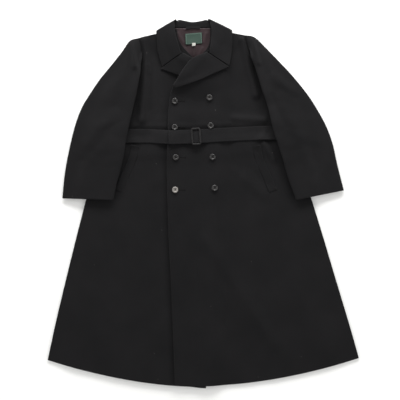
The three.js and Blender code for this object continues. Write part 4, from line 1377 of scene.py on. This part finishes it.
strands = [thread_arch(hole_places[0], hole_places[2]), thread_arch(hole_places[1], hole_places[3])]
shank = tube([(0, 0, -STUB_HEIGHT - 0.1), (0, 0, -STUB_HEIGHT / 2), (0, 0, 0.3)], 2.6, 16)
button_threads = joined([*strands, shank])
BUTTON_TILTS = [(2, -1.5), (-1.5, 2), (1, 2.5), (0.5, 1), (-2.5, 1), (1.5, -1), (2, 1.5), (-4, 3)]


def tilted(points, tilt):
    """Turns points about a button's middle by small angles about x and y, in degrees."""
    about_x, about_y = np.radians(tilt)
    moved = points.copy()
    moved[:, 2] += points[:, 1] * math.sin(about_x) - points[:, 0] * math.sin(about_y)
    return moved


for index, (x, y) in enumerate(BUTTONS):
    at = np.array([[x, y, 0.0]])
    foot = read_field(widened(pile, STUB_HEIGHT), at)[0] + GAP
    disc = max(read_field(widened(pile, BUTTON_RADIUS), at)[0] + GAP, foot + STUB_HEIGHT)
    # The pale horn on one button is a painted glint, on a button as dark as the rest
    pale = index + 1 == PAINTED_GLINT_BUTTON
    name = f"button_{index + 1}"
    tilt = BUTTON_TILTS[index]
    place = (x, y, disc + BUTTON_RADIUS * math.sin(math.radians(max(map(abs, tilt)))) / 2)
    body = mesh_object(f"{name}_disc", tilted(button_body[0], tilt) + place, button_body[1])
    body.data.set_sharp_from_angle(angle=math.radians(38))
    add_piece(body, [name], painted_glint_horn if pale else dark_horn)
    sewing = (tilted(button_threads[0], tilt) + place, button_threads[1])
    add_trim(f"{name}_thread", [sewing], black_thread)

# Buttonholes of the top front: a slit worked round with close stitches, from under each button
# towards the middle, with a bar at its end
HOLE_START = 4
HOLE_LENGTH = 27
HOLE_STEPS = 30
SLIT_HALF = 0.9
CORD_RADIUS = 0.6
PURL_OUT = 0.8
PURL_SPACING = 1.1
PURL_RADIUS = 0.25
HOLE_BAR_HALF = 2.6
HOLE_BAR_RADIUS = 0.8
skin = softened(pile, 2 * CELL)


def on_coat(xs, ys, above):
    points = np.column_stack([xs, ys, np.zeros(len(xs))])
    points[:, 2] = read_field(skin, points) + above
    return points


worked = []
for x, y in BUTTONS[:4]:
    xs = np.linspace(x + HOLE_START, x + HOLE_START + HOLE_LENGTH, HOLE_STEPS)
    for side in (-1, 1):
        slit_ys = np.full(HOLE_STEPS, y + side * SLIT_HALF)
        purl_ys = np.full(HOLE_STEPS, y + side * (SLIT_HALF + PURL_OUT))
        worked.append(tube(on_coat(xs, slit_ys, 0), CORD_RADIUS, 8))
        purl = spaced_along(on_coat(xs, purl_ys, -0.1), PURL_SPACING)
        for stitch in purl:
            ends = np.array([stitch - (0, side * 0.9, -0.3), stitch + (0, side * 0.7, -0.1)])
            worked.append(tube(ends, PURL_RADIUS, 5))
    hole_bar_ys = np.linspace(y - HOLE_BAR_HALF, y + HOLE_BAR_HALF, 8)
    hole_bar_xs = np.full(8, xs[-1] + CORD_RADIUS)
    worked.append(tube(on_coat(hole_bar_xs, hole_bar_ys, 0.4), HOLE_BAR_RADIUS, 8))
add_trim("buttonhole_stitches", worked, black_thread, "front_left")


# Belt: from the buckle round the wearer's right side, under the back, round the left side and
# through the buckle, with its tip lying on the first stretch
BELT_TURN_STEPS = 10
UPPER_EDGE_PRESSED = 0.6
BELT_CREASES = [(184, 207, 200, 232, 2.4, 5), (-210, 200, -204, 232, 0.8, 9), (70, 204, 74, 236, 0.6, 10)]


def belt_run(from_x, to_x, edge_at_start):
    length = abs(to_x - from_x)
    insets = EDGE_INSETS / length
    count = math.ceil(length / BELT_STEP) + 1
    shares = np.concatenate([insets[:-1], np.linspace(insets[-1], 1, count)])
    if not edge_at_start:
        shares = 1 - shares[::-1]
    xs = from_x + (to_x - from_x) * shares
    plan = belt_rows(xs, belt_middle_y(xs))
    return draped(plan, np.maximum(0, fold_height(BELT_CREASES, plan)), reach=5, ease=9)


first_run = belt_run(BELT_END_X, belt_right_x, True)
lay(raised(first_run, BELT_THICKNESS))
near_buckle = np.abs(first_run[..., 0] - BUCKLE_X) < BUCKLE_WIDTH
bar_bottom = first_run[..., 2][near_buckle].max() + BELT_THICKNESS + GAP
bar_top = bar_bottom + BUCKLE_BAR / 2
bar_ys = np.linspace(BUCKLE_Y - BELT_WIDTH / 2, BUCKLE_Y + BELT_WIDTH / 2, 30)
BAR_EDGE = 1.5
bar_edges = [
    np.column_stack([np.full(30, BUCKLE_X + side), bar_ys, np.full(30, bar_top)])
    for side in (-BAR_EDGE, BAR_EDGE)
]
lay(np.stack(bar_edges))
last_run = belt_run(belt_left_x, BELT_TIP_X, False)
lay(raised(last_run, BELT_THICKNESS))


def belt_turn(top_row, side, offset):
    high = top_row[:, 2] + offset
    low = BELT_THICKNESS - offset
    radius = (high - low) / 2
    rows = []
    for angle in np.linspace(0, math.pi, BELT_TURN_STEPS + 1)[1:-1]:
        x = top_row[:, 0] + side * radius * math.sin(angle)
        rows.append(np.stack([x, top_row[:, 1], low + radius * (1 + math.cos(angle))], axis=1))
    return np.array(rows)


def belt_side(offset):
    return np.concatenate([
        raised(first_run, offset),
        belt_turn(first_run[-1], -1, offset),
        raised(belt_back, BELT_THICKNESS - offset),
        belt_turn(last_run[0], 1, offset)[::-1],
        raised(last_run, offset),
    ])


# The upper edge of the belt is pressed thinner by the cloth that hangs over it
pressed = 1 - UPPER_EDGE_PRESSED * smooth_share(BELT_COLUMNS, 0.8, 1)
add_wall(
    "belt", belt_side(0), belt_side(BELT_THICKNESS), belt_cloth, ("outer", "inner", "end"), pressed,
    rests_on=["front_right_cloth", "front_left_cloth"],
)

# Buckle: a rounded frame over the belt, with a bar below it, in one piece
FRAME_SECTION = [
    (-1, -0.6),
    (-0.7, -1),
    (0.7, -1),
    (1, -0.6),
    (1, 0.3),
    (0.85, 0.7),
    (0.5, 1),
    (-0.5, 1),
    (-0.85, 0.7),
    (-1, 0.3),
]


def rounded_rectangle(width, height, corner, steps=10):
    """Points round a rectangle with round corners."""
    points = []
    for turn, (side, end) in enumerate(((1, -1), (1, 1), (-1, 1), (-1, -1))):
        for angle in np.linspace(-math.pi / 2, 0, steps) + turn * math.pi / 2:
            x = side * (width / 2 - corner) + corner * math.cos(angle)
            y = end * (height / 2 - corner) + corner * math.sin(angle)
            points.append((x, y))
    return np.array(points)


buckle_foot = read_field(widened(pile, BUCKLE_WIDTH / 2), np.array([[BUCKLE_X, BUCKLE_Y, 0.0]]))[0] + GAP
band_line = rounded_rectangle(
    BUCKLE_WIDTH - BUCKLE_BAND, BUCKLE_HEIGHT - BUCKLE_BAND, BUCKLE_CORNER - BUCKLE_BAND / 2
)
ahead = np.roll(band_line, -1, axis=0) - np.roll(band_line, 1, axis=0)
outward = np.stack([ahead[:, 1], -ahead[:, 0]], axis=1) / np.linalg.norm(ahead, axis=1, keepdims=True)
rings = []
for across, up in FRAME_SECTION:
    ring = band_line + outward * across * BUCKLE_BAND / 2
    rings.append(np.column_stack([ring, np.full(len(ring), buckle_foot + BUCKLE_THICKNESS / 2 * (1 + up))]))
frame_points = np.stack(rings, axis=1).reshape(-1, 3)
sides = len(FRAME_SECTION)
frame_faces = []
for step in range(len(band_line)):
    here = step * sides
    there = (step + 1) % len(band_line) * sides
    for corner in range(sides):
        beside = (corner + 1) % sides
        frame_faces.append([here + corner, here + beside, there + beside, there + corner])
bar_reach = (BUCKLE_HEIGHT - BUCKLE_BAND) / 2
bar_line = [(0, y, bar_bottom + BUCKLE_BAR / 4) for y in np.linspace(-bar_reach, bar_reach, 12)]
post_foot = bar_bottom + BUCKLE_BAR / 4
post_top = buckle_foot + BUCKLE_THICKNESS / 2
posts = [
    tube([(0, end * bar_reach, height) for height in np.linspace(post_foot, post_top, 4)], 1.6, 10)
    for end in (-1, 1)
]
points, faces = joined([(frame_points, frame_faces), tube(bar_line, BUCKLE_BAR / 4, 10), *posts])
turn = np.array([
    [math.cos(BUCKLE_TILT), math.sin(BUCKLE_TILT)],
    [-math.sin(BUCKLE_TILT), math.cos(BUCKLE_TILT)],
])
points[:, :2] = points[:, :2] @ turn + (BUCKLE_X, BUCKLE_Y)
add_piece(mesh_object("buckle_frame", points, faces), ["buckle"], buckle_horn)

# Pocket welts: thick at the free edge, thinning to where they are sewn into the front
WELT_SEWN_SHARE = 0.05
WELT_THICKNESS = 1.1
WELT_WIDTH = 24
WELT_REACH = 3
TACK_RADIUS = 0.6


def add_welt(name, levels, front):
    lower = draped(panel_plan(levels, 4), 0, WELT_REACH, WELT_REACH)
    across = np.linalg.norm(lower - lower[:, :1], axis=2) / WELT_WIDTH
    rows = np.linspace(0, 1, len(lower))[:, None]
    ends = smooth_share(np.minimum(rows, 1 - rows), 0, 0.06)
    thick = WELT_SEWN_SHARE + (1 - WELT_SEWN_SHARE) * smooth_share(across, 0, 1) * ends
    upper = raised(lower, WELT_THICKNESS * thick)
    add_wall(name, lower, upper, body_cloth, ("inner",), rests_on=[f"{front}_cloth"])
    bars = [tube(upper[row, -9:-1:2], TACK_RADIUS, 8) for row in (3, -4)]
    add_trim(f"{name}_tacks", bars, black_thread, name)
    lay(upper)


add_welt("pocket_welt_right", RIGHT_POCKET, "front_right")
add_welt("pocket_welt_left", LEFT_POCKET, "front_left")

# Sleeves: flattened tubes, sewn to the armhole and lying over the sides of the body
SLEEVE_ROWS = 110
SLEEVE_POINTS = 72
SLEEVE_LENGTH = 600
MOUTH_LEVEL = 0.06
MOUTH_AIR = 0.6
CREASE_LEVEL = 0.025
SLEEVE_SQUARENESS = 0.6
# The sleeve head laps over the edge of the armhole, where it is sewn
SEAM_LAP = 1.5
SLEEVE_EDGE_LIFT = 5


def add_sleeve(name, levels, front_levels, mouth_end, side, folds, seed, finish, front):
    levels = np.asarray(levels, float)
    rows = edge_shares(SLEEVE_LENGTH, SLEEVE_ROWS)[:, None]
    angles = np.linspace(0, 2 * math.pi, SLEEVE_POINTS, endpoint=False)[None]
    share = 0.5 - 0.5 * np.cos(angles)
    lift = np.sign(np.sin(angles)) * np.abs(np.sin(angles)) ** SLEEVE_SQUARENESS
    outer = curve_through(levels[:, :2], rows)
    inner = curve_through(levels[:, 2:], rows)
    armhole = curve_through(np.asarray(front_levels, float)[:, :2], 1 - share * mouth_end)
    armhole[..., 0] -= side * SEAM_LAP
    from_seam = smooth_share(rows, 0, MOUTH_LEVEL)[..., None]
    width = np.linalg.norm(outer - inner, axis=2)

    def plan_at(shares):
        straight = outer + (inner - outer) * shares[..., None]
        flat = armhole * (1 - from_seam) + straight * from_seam
        return np.concatenate([flat, np.zeros_like(flat[..., :1])], axis=2)

    open_share = smooth_share(rows, 0, MOUTH_LEVEL * 2)
    plan = plan_at(share + 0 * rows)
    over_body = np.maximum(open_share, smooth_share(share, 0.5, 0.9))
    rest = draped(plan, 0, 10, 14)[..., 2] * over_body
    air = MOUTH_AIR + (SLEEVE_AIR - MOUTH_AIR) * open_share
    half = CLOTH + air / 2
    swell = fold_height(folds, plan) + UNEVENNESS * (1 + unevenness(plan, seed))
    crease = np.maximum(0, np.sin(angles)) * swell
    lifted = SLEEVE_EDGE_LIFT * smooth_share(share, 0.6, 1)
    middle = rest + half + lifted * open_share + crease * smooth_share(rows, 0, CREASE_LEVEL)
    inset = CLOTH / width
    outside = plan.copy()
    outside[..., 2] = middle + half * lift
    inside = plan_at(np.clip(share, inset, 1 - inset))
    inside[..., 2] = middle + (half - CLOTH) * lift
    full = edge_fullness(len(rows) - 2 * len(EDGE_INSETS), False, False)[:, None, None]
    centre = (outside + inside) / 2
    wall = (outside - inside) / 2 * full
    below = [f"{front}_cloth", "back_cloth"]
    add_cloth(name, centre - wall, centre + wall, finish, ring=True, rests_on=below)
    lay(outside[:, : SLEEVE_POINTS // 2 + 1])


RIGHT_MOUTH_END = 0.18
LEFT_MOUTH_END = 0.13
RIGHT_SEED = 5
LEFT_SEED = 6
add_sleeve(
    "sleeve_right",
    RIGHT_SLEEVE,
    UNDER_FRONT,
    RIGHT_MOUTH_END,
    -1,
    RIGHT_SLEEVE_FOLDS,
    RIGHT_SEED,
    right_sleeve_cloth,
    "front_right",
)
add_sleeve(
    "sleeve_left",
    LEFT_SLEEVE,
    TOP_FRONT,
    LEFT_MOUTH_END,
    1,
    LEFT_SLEEVE_FOLDS,
    LEFT_SEED,
    left_sleeve_cloth,
    "front_left",
)

# Floor and light
FLOOR_HALF = 6000
FLOOR_BELOW = -0.4
corners = [(-1, -1), (1, -1), (1, 1), (-1, 1)]
floor_points = [(x * FLOOR_HALF, y * FLOOR_HALF, FLOOR_BELOW) for x, y in corners]
floor = mesh_object("floor", floor_points, [[0, 1, 2, 3]])
floor.data.materials.append(matt_white_paper())

bpy.context.scene.view_settings.view_transform = "Standard"
world = bpy.data.worlds.new("studio")
world.use_nodes = True
world.node_tree.nodes["Background"].inputs["Color"].default_value = (1, 1, 1, 1)
world.node_tree.nodes["Background"].inputs["Strength"].default_value = 0.3
bpy.context.scene.world = world


def add_light(name, place, power, width, height):
    """A large soft area light, aimed at the coat."""
    data = bpy.data.lights.new(name, "AREA")
    data.shape = "RECTANGLE"
    data.size = width * MM
    data.size_y = height * MM
    data.energy = power
    light = bpy.data.objects.new(name, data)
    light.location = Vector(place) * MM
    light.rotation_mode = "QUATERNION"
    light.rotation_quaternion = (-light.location).to_track_quat("-Z", "Y")
    bpy.context.collection.objects.link(light)


add_light("top_softbox", (0, 2300, 1000), 112, 3000, 800)
add_light("bottom_softbox", (0, -2500, 1000), 20, 3000, 800)
add_light("left_softbox", (-2300, 0, 1000), 34, 3000, 800)
add_light("right_softbox", (2300, 0, 1000), 34, 3000, 800)
